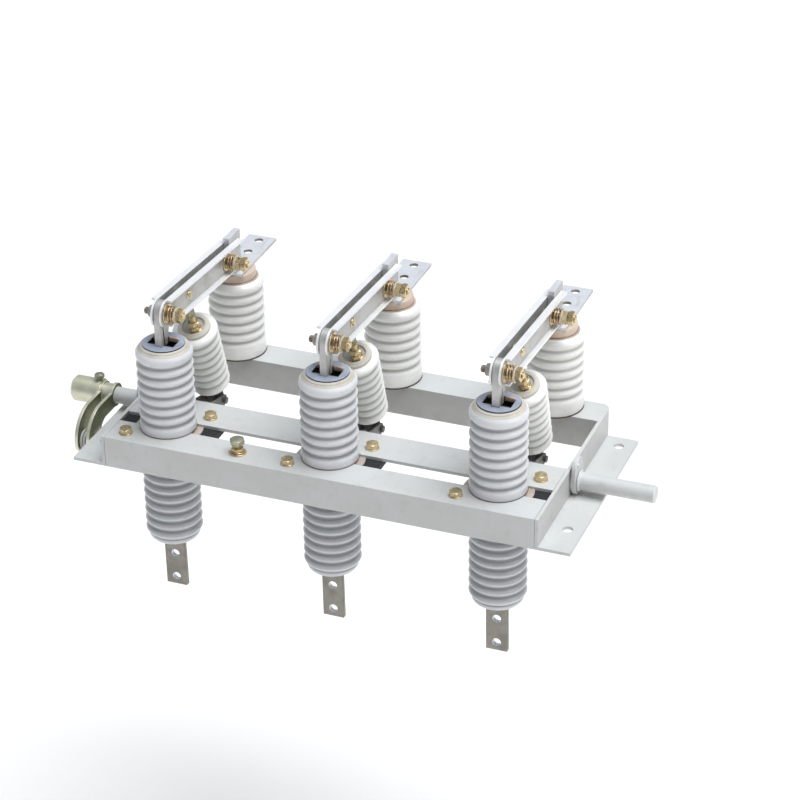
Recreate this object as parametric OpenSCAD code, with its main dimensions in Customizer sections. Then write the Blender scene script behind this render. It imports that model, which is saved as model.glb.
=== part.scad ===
// Three-pole indoor knife-blade disconnector with through-bushings in front,
// post insulators behind and a common shaft that lifts the blades through pull insulators.
// Units are millimetres. X runs along the shaft, Y from front to back, Z is up.

/* [Frame] */
// Length over the upright faces of the two end angles
frame_length = 656; // [600:1:760]
// Height of the beams and end angles
frame_height = 48; // [44:1:60]
// Depth from the front face to the back edge of the back beam
frame_depth = 333; // [320:1:360]
// Thickness of the rolled steel of the frame
steel_t = 5; // [4:0.5:6]
// Width of the top leg of the front beam
front_beam_w = 52; // [46:1:58]
// Width of the top leg of the back beam
back_beam_w = 51; // [46:1:60]
// Distance from the front face to the front edge of the middle strip
strip_front = 80; // [76:1:86]
// Width of the middle strip
strip_w = 65; // [56:1:66]
// Outside radius of the bent back corners
corner_r = 14; // [10:1:20]
// Reach of the mounting flange beyond the upright face
flange_out = 46; // [40:1:55]

/* [Mounting holes] */
// Diameter of the four mounting holes
mount_hole_d = 15; // [11:0.5:17]
// Distance of the mounting holes from the upright face
mount_hole_out = 24; // [20:1:30]
// Distance of the front mounting holes from the front face
mount_hole_front = 57; // [40:1:80]
// Distance of the back mounting holes from the back end of the mounting flange
mount_hole_back = 24; // [20:1:40]

/* [Poles] */
// Distance between neighbouring poles
pole_pitch = 250; // [240:1:260]
// Distance of the bushing axis from the front face
bushing_y = 62; // [60:0.5:64]
// Distance of the post insulator axis from the back edge of the frame
post_back = 25; // [21:1:29]

/* [Bushing] */
// Diameter over the ribs above the frame
bushing_top_d = 82; // [78:1:90]
// Diameter over the ribs below the frame
bushing_low_d = 83; // [80:1:90]
// Number of ribs above the frame
bushing_top_ribs = 8; // [6:1:9]
// Number of ribs below the frame
bushing_low_ribs = 10; // [8:1:12]
// Rib pitch above the frame
bushing_top_pitch = 15.4; // [14:0.1:16]
// Rib pitch below the frame
bushing_low_pitch = 15.1; // [14:0.1:16]
// Radius of a rib's rounded edge as a share of the rib pitch
rib_fullness = 0.56; // [0.53:0.01:0.7]
// Inset of the smooth band under the last rib
bushing_end_inset = 3; // [1:0.5:4]
// Gap between the neck and the frame around it
neck_gap = 1; // [0.5:0.5:2]
// Height from the foot to the middle of the first rib above the frame
bushing_foot_h = 10.5; // [9:0.5:14]
// Height of the collar above the middle of the last rib
bushing_collar_h = 14.5; // [12:0.5:16]
// Height of the smooth neck between the cast flange and the first rib below the frame
bushing_neck_h = 6; // [3:0.5:8]
// Height of the smooth band under the last rib below the frame
bushing_end_h = 11.5; // [11:0.5:16]
// Wall of the porcelain's rim round the cap
cap_rim = 2.5; // [2:0.5:5]
// Straight part of the collar above the middle of the last rib
bushing_band = 7; // [4:0.5:9]
// Radius of the rounded lower edge of the bushing
bushing_round = 11; // [6:0.5:11]
// Diameter of the neck that passes through the frame
neck_d = 72; // [68:1:73]
// Length of the cast flange along X
bushing_flange_l = 144; // [130:1:145]
// Width of the cast flange along Y
bushing_flange_w = 112; // [108:1:116]
// Thickness of the cast flange
bushing_flange_t = 10; // [8:1:12]
// Corner cut of the cast flange
bushing_flange_cut = 20; // [10:1:24]
// Offset of the two flange bolts from the bushing axis along X
bushing_bolt_x = 48; // [44:1:60]
// Offset of the two flange bolts from the bushing axis along Y
bushing_bolt_y = 40; // [36:1:44]
// Diameter of the bolt holes of the insulators
insulator_bolt_d = 11; // [9:0.5:13]
// Diameter of the cap on the bushing
bushing_cap_d = 61; // [56:1:66]
// Height of the cap on the bushing
bushing_cap_h = 3; // [2.5:0.5:4]
// Size of the cap's slot along Y
cap_slot_y = 22; // [16:1:26]
// Gap between the flat conductor and each end of the cap's slot
cap_slot_side = 4; // [2:0.5:6]

/* [Conductor] */
// Width of the flat conductor through the bushing
bar_w = 32; // [28:1:36]
// Thickness of the flat conductor through the bushing
bar_t = 8; // [6:0.5:10]
// Depth of the lower terminal's end below the mounting plane
terminal_drop = 220; // [208:1:240]
// Distance from the terminal's end to its first hole
terminal_end = 13; // [12:0.5:18]
// Distance between the two holes of a terminal
terminal_pitch = 40; // [32:1:42]
// Diameter of the terminal holes
terminal_hole_d = 13; // [11:0.5:14]
// Thickness of the hinge tongue and of the fixed contact
contact_t = 10; // [8:0.5:12]
// Width of the hinge tongue
tongue_w = 32; // [28:1:36]

/* [Post insulator] */
// Diameter over the ribs
post_d = 85; // [80:1:92]
// Number of ribs
post_ribs = 7; // [6:1:8]
// Rib pitch
post_pitch = 15.4; // [14:0.1:15.5]
// Height from the foot to the middle of the first rib
post_foot_h = 21.5; // [18:0.5:24]
// Height of the shoulder above the middle of the last rib
post_shoulder_h = 9.5; // [7:0.5:11]
// Straight part of the shoulder above the middle of the last rib
post_band = 3; // [2:0.5:5]
// Diameter of the metal cap
post_cap_d = 62; // [56:1:70]
// Depth of the groove round the metal cap
post_cap_groove = 1.5; // [1:0.25:3]

/* [Fixed contact] */
// Height of the underside of the contact plate above the mounting plane
contact_z = 184; // [182:1:186]
// Thickness of the contact plate
plate_t = 4.5; // [4:0.5:6]
// Width of the contact plate
plate_w = 45; // [40:1:50]
// Reach of the contact plate in front of the post insulator axis
plate_ahead = 26; // [24:1:28]
// Reach of the contact plate behind the post insulator axis
plate_behind = 103; // [90:1:112]
// Length of the upright contact along Y
upright_l = 38; // [34:1:42]
// Height of the upright contact's top above the mounting plane
upright_top = 243.5; // [240:0.5:250]
// Distance from the plate's end to its last hole
plate_end = 15; // [13:0.5:18]
// Distance between the two holes of the contact plate
plate_pitch = 40; // [34:1:42]

/* [Blades] */
// Height of the hinge axis above the mounting plane
pivot_z = 230; // [226:1:236]
// Distance by which the tips of the closed blades end short of the post insulator axis
blade_tip = -0.4; // [-4:0.2:4]
// Height of a blade channel
blade_h = 40; // [36:1:42]
// Thickness of the channel's metal
blade_t = 3; // [2.5:0.25:3.5]
// Width of a channel over its flanges
blade_w = 10; // [8:0.5:12]
// Fall of the closed blades towards the fixed contact, in degrees
blade_fall = 4; // [3:0.1:4.2]
// Side clearance between a blade and what it clasps
blade_gap = 0.3; // [0.2:0.05:0.5]
// Distance from the tips of the blades to the contact bolt
contact_bolt_back = 44; // [42:1:50]
// Distance from the hinge axis to the pull pin
pull_pin_at = 72; // [68:1:78]
// Running clearance of the hinge bolt and the pull pin
hinge_play = 0.1; // [0.05:0.05:0.1]
// Length of the threaded tail of the cross bolts
bolt_tail = 14; // [6:1:16]
// Diameter of the bolts across the blades
cross_bolt_d = 10; // [8:0.5:12]
// Reach of a cross bolt beyond its nut
bolt_end = 3; // [2:0.5:5]
// Diameter of the spacer between the blades at the contact bolt
spacer_d = 16; // [13:0.5:18]
// Width across the flats of the pull pin's heads
pull_head_flats = 16; // [14:0.5:18]
// Thickness of the pull pin's heads
pull_head_t = 4; // [3:0.5:6]
// Diameter of the plain washers at the nuts
back_washer_d = 24; // [22:0.5:26]
// Diameter of the pressure washers
pressure_washer_d = 30; // [26:0.5:31]
// Thickness of the pressure washers
pressure_washer_t = 2; // [1.5:0.25:3]
// Outer diameter of the pressure spring
spring_d = 25; // [20:0.5:28]
// Wire diameter of the pressure spring
spring_wire = 4; // [3:0.25:4.5]
// Turns of the pressure spring
spring_turns = 3; // [3:1:4]
// Width across the flats of the nuts on the cross bolts
nut_flats = 19; // [17:0.5:22]
// Thickness of the nuts on the cross bolts
nut_t = 8; // [6:0.5:10]
// Thickness of the second nut on the contact bolt
lock_nut_t = 8; // [5:0.5:9]

/* [Pull insulator] */
// Distance between the pull pin and the crank pin
pull_length = 233.5; // [233:0.5:236]
// Lean of the closed pull insulator, in degrees
pull_lean = 21.7; // [21:0.1:22.5]
// Distance from the pull pin to the top cap
pull_cap_at = 84; // [76:1:90]
// Height of the top and bottom caps
pull_cap_h = 8; // [6:0.5:10]
// Diameter of the top cap
pull_cap_d = 48; // [44:1:52]
// Diameter over the ribs at the top
pull_top_d = 68; // [60:1:70]
// Diameter over the ribs at the bottom
pull_low_d = 60; // [56:1:68]
// Number of ribs
pull_ribs = 8; // [8:1:10]
// Distance from the foot of the porcelain to the crank pin
pull_foot = 38; // [37:0.5:44]
// Diameter of the foot cap
pull_foot_d = 44; // [36:1:46]
// Thickness of the lug between the blades
lug_t = 8; // [6:0.5:9]
// Width of the lug between the blades
lug_w = 22; // [20:1:26]
// Thickness of the eye between the crank plates
eye_t = 16; // [12:0.5:17]
// Outside diameter of the eye
eye_d = 25; // [24:0.5:27]
// Diameter of the crank pin
crank_pin_d = 10; // [8:0.5:12]
// Radial play of the crank pin in the eye
crank_pin_play = 1.6; // [1.5:0.1:2]

/* [Shaft] */
// Distance of the shaft axis from the front face
shaft_y = 153.5; // [152.5:0.5:155]
// Height of the shaft axis above the mounting plane
shaft_z = 25; // [24:0.5:26]
// Diameter of the shaft
shaft_d = 25; // [22:0.5:25]
// Reach of the shaft beyond the right end angle
shaft_right = 120; // [100:1:130]
// Diameter of the collar that locates the shaft beside the right bearing plate
shaft_collar_d = 31; // [28:0.5:35]
// Width of the locating collar
shaft_collar_w = 3; // [2.5:0.5:6]
// Side play of the locating collar
shaft_collar_gap = 0.5; // [0.3:0.1:1]
// Radial running clearance of the shaft in the end angles
shaft_play = 0.1; // [0.05:0.05:0.1]
// Thickness of the crank plates of the poles
crank_t = 5; // [4:0.5:6]
// Reach of a crank pin beyond its plates
crank_pin_out = 4; // [3:0.5:6]
// Radius of the crank plates round the shaft
crank_hub_r = 15; // [14.5:0.5:16]
// Radius of the crank plates round the crank pin
crank_end_r = 8.5; // [8:0.5:9]
// Side gap between a crank plate and the eye
crank_gap = 1.3; // [1:0.1:1.5]
// Width of a bearing plate along Y
bearing_w = 36; // [32:1:44]
// Height of a bearing plate
bearing_h = 57; // [50:1:70]
// Thickness of a bearing plate
bearing_t = 6; // [4:0.5:8]
// Diameter of the ring between a bearing plate and the end angle
bearing_ring_d = 32; // [29:0.5:35]
// Thickness of the ring between a bearing plate and the end angle
bearing_ring_t = 3; // [2:0.5:4]

/* [Drive crank] */
// Gap between the mounting flange's edge and the inner drive plate
drive_gap = 5; // [5:0.5:8]
// Thickness of the drive plates
drive_t = 5; // [4:0.5:6]
// Clear distance between the two drive plates
drive_space = 13.5; // [12:0.5:16]
// Radius of the drive plates round the shaft
drive_hub_r = 18; // [17:0.5:20]
// Offset of the drive pin in front of the shaft
drive_pin_y = 77; // [72:1:82]
// Depth of the drive pin below the shaft
drive_pin_z = 36; // [33:1:38]
// Reach of the drive pin beyond the outer plate
drive_pin_out = 5; // [3:0.5:8]
// Diameter of the drive pin
drive_pin_d = 12; // [10:0.5:14]
// Radius of the drive plates round the drive pin
drive_end_r = 20; // [18:0.5:21]
// Width of the drive plates between hub and bend
drive_band_w = 26; // [22:0.5:30]
// Radius inside the drive plates' bend
drive_hollow_r = 20; // [18:0.5:22]
// Length of the drive sleeve
sleeve_l = 46; // [40:1:60]
// Diameter of the drive sleeve
sleeve_d = 39; // [34:0.5:42]
// Chamfer at the end of the drive sleeve
sleeve_cut = 4; // [2:0.5:6]
// Diameter of the hub between the drive plates
drive_neck_d = 31; // [28:0.5:34]

/* [Hidden] */
$fn = 48;
// Clearance where a piece passes through another piece of the same body
fit = 0.15;

half_l = frame_length / 2;
inner_l = half_l - steel_t;
top_z = frame_height;
end_angle_length = frame_depth - corner_r;
mount_hole_pitch = end_angle_length - mount_hole_front - mount_hole_back;
bend_x = half_l - corner_r;
leg_z = frame_height - steel_t;
flange_z = leg_z - bushing_flange_t;
bushing_top_h = bushing_foot_h + (bushing_top_ribs - 1) * bushing_top_pitch + bushing_collar_h;
bushing_top_z = top_z + bushing_top_h;
bushing_rib_z = flange_z - bushing_neck_h;
bushing_low_z = bushing_rib_z - bushing_low_ribs * bushing_low_pitch - bushing_end_h;
bushing_low_r = bushing_low_d / 2 - bushing_end_inset;
post_y = frame_depth - post_back;
post_h = post_foot_h + (post_ribs - 1) * post_pitch + post_shoulder_h;
post_top_z = top_z + post_h;
cap_slot_x = bar_w + 2 * cap_slot_side;
plate_front = post_y - plate_ahead;
plate_back = post_y + plate_behind;
blade_reach = (post_y - blade_tip - bushing_y) / cos(blade_fall);
contact_bolt_at = blade_reach - contact_bolt_back;
web_in = contact_t / 2 + blade_gap;
web_out = web_in + blade_t;
blade_edge = web_in + blade_w;
spring_l = spring_turns * spring_wire;
stack_x = web_out + pressure_washer_t + spring_l + pressure_washer_t;
bolt_right = stack_x + nut_t + bolt_end;
bolt_left = -(web_out + pressure_washer_t + nut_t + bolt_tail);
pull_pin_y = bushing_y + pull_pin_at * cos(blade_fall);
pull_pin_z = pivot_z - pull_pin_at * sin(blade_fall);
crank_pin_y = pull_pin_y + pull_length * sin(pull_lean);
crank_pin_z = pull_pin_z - pull_length * cos(pull_lean);
crank_r = norm([crank_pin_y - shaft_y, crank_pin_z - shaft_z]);
crank_a = atan2(crank_pin_z - shaft_z, crank_pin_y - shaft_y);
crank_in = eye_t / 2 + crank_gap;
pull_foot_at = pull_length - pull_foot;
pull_rib_pitch = (pull_foot_at - pull_cap_at - pull_cap_h) / pull_ribs;
drive_in = -(half_l + flange_out + drive_gap);
drive_out = drive_in - 2 * drive_t - drive_space;
drive_bow_r = drive_band_w + drive_hollow_r;
mount_x = half_l + flange_out / 2;
collar_x = half_l + bearing_ring_t + bearing_t + shaft_collar_gap;

// Moves the drawing frame so that the origin lies on the underside of the left flange
module mounted() translate([mount_x, -end_angle_length / 2, 0]) children();

// Moves to a pole: -1 is the left one, 0 the middle one and 1 the right one
module at_pole(p) translate([p * pole_pitch, 0, 0]) children();

// A round bar along X between two X positions
module bar_x(x0, x1, y, z, d) translate([x0, y, z]) rotate([0, 90, 0]) cylinder(h = x1 - x0, d = d);

// A plate of thickness t in the YZ plane whose outline is drawn with Y across and Z up
module plate_yz(x0, t) translate([x0, 0, 0]) rotate([90, 0, 90]) linear_extrude(t) children();

// A hexagon nut or bolt head along X
module hex_x(x0, t, flats) translate([x0, 0, 0]) rotate([0, 90, 0]) cylinder(h = t, d = flats / cos(30), $fn = 6);

// Outline of a ribbed insulator on the Y axis, widening from r0 at the foot to r1 at the top
module rib_outline(r0, r1, ribs, pitch) {
    edge_r = rib_fullness * pitch;
    groove = edge_r - sqrt(edge_r * edge_r - pitch * pitch / 4);
    intersection() {
        union() {
            polygon([[0, 0], [r0 - groove, 0], [r1 - groove, ribs * pitch], [0, ribs * pitch]]);
            for (i = [0 : ribs - 1])
                translate([r0 + (r1 - r0) * (i + 0.5) / ribs - edge_r, pitch * (i + 0.5)]) circle(r = edge_r);
        }
        square([max(r0, r1), ribs * pitch]);
    }
}

// Outline of a standing insulator: smooth foot, ribs, and a collar that slopes in to the top radius
module column_outline(r, foot, ribs, pitch, collar, band, top_r) {
    last = foot + (ribs - 1) * pitch;
    square([r, foot]);
    intersection() {
        translate([0, foot - pitch / 2]) rib_outline(r, r, ribs, pitch);
        square([r, last]);
    }
    polygon([
        [0, last], [r, last], [r - 0.1 * band, last + 0.6 * band],
        [r - 0.5 * band, last + band], [top_r, last + collar], [0, last + collar]
    ]);
}

// Cut for the bushing neck and its two bolts through a frame member
module bushing_cuts(z, h) {
    for (p = [-1 : 1]) at_pole(p) {
        translate([0, bushing_y, z - 1]) cylinder(h = h + 2, d = neck_d + 2 * neck_gap);
        for (s = [-1, 1])
            translate([s * bushing_bolt_x, bushing_y + s * bushing_bolt_y, z - 1])
                cylinder(h = h + 2, d = insulator_bolt_d);
    }
}

// Folded front beam: top leg and front leg
module front_beam() color("gainsboro") difference() {
    union() {
        translate([-inner_l, 0, leg_z]) cube([2 * inner_l, front_beam_w, steel_t]);
        translate([-inner_l, 0, 0]) cube([2 * inner_l, steel_t, frame_height]);
    }
    bushing_cuts(leg_z, steel_t);
}

// Back beam: top leg that fills the bent corners of the end angles, and an inner leg
module back_beam() color("gainsboro") difference() {
    inner = frame_depth - back_beam_w;
    union() {
        translate([0, 0, leg_z]) linear_extrude(steel_t) union() {
            translate([-inner_l, inner]) square([2 * inner_l, end_angle_length - inner]);
            translate([-bend_x, inner]) square([2 * bend_x, back_beam_w]);
            for (s = [-1, 1]) translate([s * bend_x, end_angle_length]) circle(r = corner_r - steel_t);
        }
        translate([-inner_l, inner, 0]) cube([2 * inner_l, steel_t, frame_height]);
    }
    for (p = [-1 : 1]) at_pole(p)
        translate([0, post_y, leg_z - 1]) cylinder(h = steel_t + 2, d = insulator_bolt_d);
}

// Flat strip that holds the back edges of the bushing flanges
module middle_strip() color("gainsboro") difference() {
    translate([-inner_l, strip_front, leg_z]) cube([2 * inner_l, strip_w, steel_t]);
    bushing_cuts(leg_z, steel_t);
}

// Plan of the right end angle's upright leg, bent round the back corner
module end_outline() intersection() {
    translate([bend_x, 0]) square([corner_r, frame_depth]);
    difference() {
        union() {
            square([half_l, end_angle_length]);
            translate([bend_x, end_angle_length]) circle(r = corner_r);
        }
        translate([0, -1]) square([inner_l, end_angle_length + 1]);
        translate([bend_x, end_angle_length]) circle(r = corner_r - steel_t);
    }
}

// End angle: the upright leg with the shaft's bearing hole and an outward mounting flange
module end_angle(s) color("gainsboro") mirror([s > 0 ? 0 : 1, 0, 0]) difference() {
    union() {
        linear_extrude(frame_height) end_outline();
        translate([inner_l, 0, 0]) cube([steel_t + flange_out, end_angle_length, steel_t]);
    }
    bar_x(inner_l - 1, half_l + 1, shaft_y, shaft_z, shaft_d + 2 * shaft_play);
    for (y = [mount_hole_front, mount_hole_front + mount_hole_pitch])
        translate([half_l + mount_hole_out, y, -1]) cylinder(h = steel_t + 2, d = mount_hole_d);
}

// Glazed bushing: ribbed above and below the frame, slotted for the flat conductor
module bushing(p) color("whitesmoke") at_pole(p) translate([0, bushing_y, 0]) difference() {
    union() {
        translate([0, 0, top_z]) rotate_extrude()
            column_outline(bushing_top_d / 2, bushing_foot_h, bushing_top_ribs, bushing_top_pitch,
                bushing_collar_h, bushing_band, bushing_cap_d / 2 + cap_rim);
        translate([0, 0, bushing_rib_z]) cylinder(h = top_z - bushing_rib_z, d = neck_d);
        translate([0, 0, bushing_rib_z]) mirror([0, 0, 1]) rotate_extrude()
            rib_outline(bushing_low_d / 2, bushing_low_d / 2, bushing_low_ribs, bushing_low_pitch);
        translate([0, 0, bushing_low_z]) rotate_extrude() union() {
            square([bushing_low_r - bushing_round, bushing_end_h]);
            translate([0, bushing_round]) square([bushing_low_r, bushing_end_h - bushing_round]);
            translate([bushing_low_r - bushing_round, bushing_round]) circle(r = bushing_round);
        }
    }
    translate([-bar_w / 2 - fit, -bar_t / 2 - fit, bushing_low_z - 1])
        cube([bar_w + 2 * fit, bar_t + 2 * fit, bushing_top_z - bushing_low_z + 2]);
}

// Cast flange that clamps the bushing neck under the frame
module bushing_flange(p) color("dimgray") at_pole(p) translate([0, bushing_y, flange_z]) difference() {
    linear_extrude(bushing_flange_t) polygon([
        for (c = [[1, 1], [-1, 1], [-1, -1], [1, -1]])
            for (k = c[0] * c[1] > 0 ? [[1, 0], [0, 1]] : [[0, 1], [1, 0]])
                [c[0] * (bushing_flange_l / 2 - k[1] * bushing_flange_cut),
                 c[1] * (bushing_flange_w / 2 - k[0] * bushing_flange_cut)]
    ]);
    translate([0, 0, -1]) cylinder(h = bushing_flange_t + 2, d = neck_d + 2 * fit);
    for (s = [-1, 1]) translate([s * bushing_bolt_x, s * bushing_bolt_y, -1])
        cylinder(h = bushing_flange_t + 2, d = insulator_bolt_d);
}

// Slotted cap on the bushing
module bushing_cap(p) color("slategray") at_pole(p) translate([0, bushing_y, bushing_top_z]) difference() {
    cylinder(h = bushing_cap_h, d = bushing_cap_d);
    translate([-cap_slot_x / 2, -cap_slot_y / 2, -1]) cube([cap_slot_x, cap_slot_y, bushing_cap_h + 2]);
    translate([-contact_t / 2 - blade_gap, -tongue_w / 2 - blade_gap, -1])
        cube([contact_t + 2 * blade_gap, tongue_w + 2 * blade_gap, bushing_cap_h + 2]);
}

// Flat conductor with the lower terminal and the hinge tongue
module conductor(p) color("lightsteelblue") at_pole(p) translate([0, bushing_y, 0]) difference() {
    union() {
        translate([-bar_w / 2, -bar_t / 2, -terminal_drop])
            cube([bar_w, bar_t, terminal_drop + bushing_top_z]);
        translate([-contact_t / 2, -tongue_w / 2, bushing_top_z])
            cube([contact_t, tongue_w, pivot_z - bushing_top_z]);
        bar_x(-contact_t / 2, contact_t / 2, 0, pivot_z, tongue_w);
    }
    bar_x(-contact_t, contact_t, 0, pivot_z, cross_bolt_d + 2 * hinge_play);
    for (i = [0, 1])
        translate([0, bar_t, -terminal_drop + terminal_end + i * terminal_pitch])
            rotate([90, 0, 0]) cylinder(h = 2 * bar_t, d = terminal_hole_d);
}

// Solid ribbed post insulator
module post_insulator(p) color("linen") at_pole(p) translate([0, post_y, top_z]) rotate_extrude()
    column_outline(post_d / 2, post_foot_h, post_ribs, post_pitch,
        post_shoulder_h, post_band, post_cap_d / 2 + cap_rim);

// Metal cap of the post insulator, with a groove round it
module post_cap(p) color("tan") at_pole(p) translate([0, post_y, post_top_z]) {
    cap_h = contact_z - post_top_z;
    cylinder(h = 0.45 * cap_h, d = post_cap_d);
    cylinder(h = cap_h, d = post_cap_d - 2 * post_cap_groove);
    translate([0, 0, 0.6 * cap_h]) cylinder(h = 0.4 * cap_h, d = post_cap_d);
}

// Fixed contact: terminal plate with the upright that the blades clasp
module fixed_contact(p) color("silver") at_pole(p) difference() {
    union() {
        translate([-plate_w / 2, plate_front, contact_z]) cube([plate_w, plate_back - plate_front, plate_t]);
        translate([-contact_t / 2, plate_front, contact_z]) cube([contact_t, upright_l, upright_top - contact_z]);
    }
    for (i = [0, 1]) translate([0, plate_back - plate_end - i * plate_pitch, contact_z - 1])
        cylinder(h = plate_t + 2, d = terminal_hole_d);
}

// Moves to the closed blades: Y runs along them from the hinge axis
module at_blades(p) at_pole(p) translate([0, bushing_y, pivot_z]) rotate([-blade_fall, 0, 0]) children();

// Holes of the three cross bolts through the blades
module blade_holes() for (y = [0, pull_pin_at, contact_bolt_at])
    bar_x(-blade_edge - 1, blade_edge + 1, y, 0, cross_bolt_d + 2 * fit);

// Two channels back to back with a gap between their webs
module blades(p) color("silver") at_blades(p) difference() {
    for (s = [0, 1]) mirror([s, 0, 0]) {
        plate_yz(web_in, blade_t) union() {
            translate([0, -blade_h / 2]) square([blade_reach, blade_h]);
            circle(d = blade_h);
        }
        for (z = [-blade_h / 2, blade_h / 2 - blade_t])
            translate([web_in, 0, z]) cube([blade_w, blade_reach, blade_t]);
    }
    blade_holes();
}

// Hinge bolt and contact bolt with washers, nuts, lock nut and spacer, and the pull pin
module blade_bolts(p) color("darkkhaki") at_blades(p) {
    for (y = [0, contact_bolt_at]) translate([0, y, 0]) {
        bar_x(bolt_left, bolt_right + (y > 0 ? fit + lock_nut_t : 0), 0, 0, cross_bolt_d);
        bar_x(web_out + fit, web_out + pressure_washer_t, 0, 0, pressure_washer_d);
        bar_x(stack_x - pressure_washer_t + fit, stack_x, 0, 0, back_washer_d);
        hex_x(stack_x, nut_t, nut_flats);
        if (y > 0) hex_x(stack_x + nut_t + fit, lock_nut_t, nut_flats);
        bar_x(-web_out - pressure_washer_t, -web_out - fit, 0, 0, back_washer_d);
        hex_x(-web_out - pressure_washer_t - nut_t, nut_t, nut_flats);
    }
    bar_x(-web_in + fit, web_in - fit, contact_bolt_at, 0, spacer_d);
    bar_x(-web_out - pull_head_t, web_out + pull_head_t, pull_pin_at, 0, cross_bolt_d);
    for (s = [0, 1]) mirror([s, 0, 0]) translate([0, pull_pin_at, 0]) hex_x(web_out + fit, pull_head_t, pull_head_flats);
}

// Pressure springs that clamp the blades on the tongue and on the fixed contact
module pressure_springs(p) color("saddlebrown") at_blades(p)
    for (y = [0, contact_bolt_at]) translate([web_out + pressure_washer_t, y, 0]) rotate([0, 90, 0])
        rotate_extrude() union() {
            translate([spring_d / 2 - spring_wire + 0.5, fit]) square([spring_wire - 2, spring_l - fit]);
            for (i = [0 : spring_turns - 1])
                translate([(spring_d - spring_wire) / 2, (i + 0.5) * spring_wire]) circle(d = spring_wire - 2 * fit);
        }

// Moves to the closed pull insulator: Z runs down it from the pull pin
module at_pull(p) at_pole(p) translate([0, pull_pin_y, pull_pin_z]) rotate([180 + pull_lean, 0, 0]) children();

// Ribbed pull insulator, a little narrower at its foot
module pull_insulator(p) color("whitesmoke") at_pull(p)
    translate([0, 0, pull_cap_at + pull_cap_h]) rotate_extrude()
        rib_outline(pull_top_d / 2, pull_low_d / 2, pull_ribs, pull_rib_pitch);

// Top cap with the lug between the blades, and foot cap with the eye on the crank pin
module pull_fittings(p) color("darkkhaki") at_pull(p) {
    difference() {
        union() {
            bar_x(-lug_t / 2, lug_t / 2, 0, 0, lug_w);
            translate([-lug_t / 2, -lug_w / 2, 0]) cube([lug_t, lug_w, pull_cap_at]);
            translate([0, 0, pull_cap_at]) cylinder(h = pull_cap_h, d = pull_cap_d);
        }
        bar_x(-lug_t, lug_t, 0, 0, cross_bolt_d + 2 * hinge_play);
    }
    difference() {
        union() {
            translate([0, 0, pull_foot_at]) cylinder(h = pull_cap_h, d = pull_foot_d);
            translate([-eye_t / 2, -eye_d / 2, pull_foot_at]) cube([eye_t, eye_d, pull_length - pull_foot_at]);
            bar_x(-eye_t / 2, eye_t / 2, 0, pull_length, eye_d);
        }
        translate([0, 0, pull_length])
            bar_x(-eye_t, eye_t, 0, 0, crank_pin_d + 2 * crank_pin_play);
    }
}

// Upright plates with a ring behind them that carry the shaft at both end angles
module bearing_plates() color("gainsboro") for (s = [0, 1]) mirror([s, 0, 0]) difference() {
    union() {
        bar_x(half_l, half_l + bearing_ring_t, shaft_y, shaft_z, bearing_ring_d);
        plate_yz(half_l + bearing_ring_t, bearing_t) translate([shaft_y, steel_t + fit + bearing_h / 2]) union() {
            for (c = [-1, 1]) translate([0, c * (bearing_h - bearing_w) / 2]) circle(d = bearing_w);
            square([bearing_w, bearing_h - bearing_w], center = true);
        }
    }
    bar_x(half_l - 1, half_l + bearing_ring_t + bearing_t + 1, shaft_y, shaft_z, shaft_d + 2 * shaft_play);
}

// Round shaft through both end angles with its locating collar
module main_shaft() color("gainsboro") {
    bar_x(drive_out - sleeve_l + sleeve_cut, half_l + shaft_right, shaft_y, shaft_z, shaft_d);
    bar_x(collar_x, collar_x + shaft_collar_w, shaft_y, shaft_z, shaft_collar_d);
}

// Outline of a crank plate from the shaft to the crank pin
module crank_outline() difference() {
    union() {
        circle(r = crank_hub_r);
        translate([crank_r, 0]) circle(r = crank_end_r);
        translate([0, -crank_end_r]) square([crank_r, 2 * crank_end_r]);
    }
    circle(d = shaft_d + 2 * fit);
}

// Pair of crank plates with their pin at each pole
module pole_cranks() color("darkkhaki") for (p = [-1 : 1]) at_pole(p)
    translate([0, shaft_y, shaft_z]) rotate([crank_a, 0, 0]) {
        plate_yz(crank_in, crank_t) crank_outline();
        plate_yz(-crank_in - crank_t, crank_t) crank_outline();
        bar_x(-crank_in - crank_t - crank_pin_out, crank_in + crank_t + crank_pin_out, crank_r, 0, crank_pin_d);
    }

// Outline of a drive plate about the shaft axis: hub, straight band, bend and end round the drive pin
module drive_outline() difference() {
    bow_y = -drive_pin_y - drive_end_r + drive_bow_r;
    hollow_y = -drive_pin_y + drive_end_r + drive_hollow_r;
    hollow_top = drive_hollow_r - drive_pin_z;
    union() {
        circle(r = drive_hub_r);
        translate([-drive_pin_y, -drive_pin_z]) circle(r = drive_end_r);
        intersection() {
            translate([bow_y, -drive_pin_z]) circle(r = drive_bow_r);
            translate([bow_y - drive_bow_r, -drive_pin_z]) square([drive_bow_r, drive_bow_r]);
        }
        translate([bow_y, -drive_pin_z]) square([hollow_y - bow_y, drive_bow_r]);
        translate([hollow_y, hollow_top]) square([-hollow_y, drive_band_w]);
    }
    translate([hollow_y, -drive_pin_z]) circle(r = drive_hollow_r);
    circle(d = shaft_d + 2 * fit);
}

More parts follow.
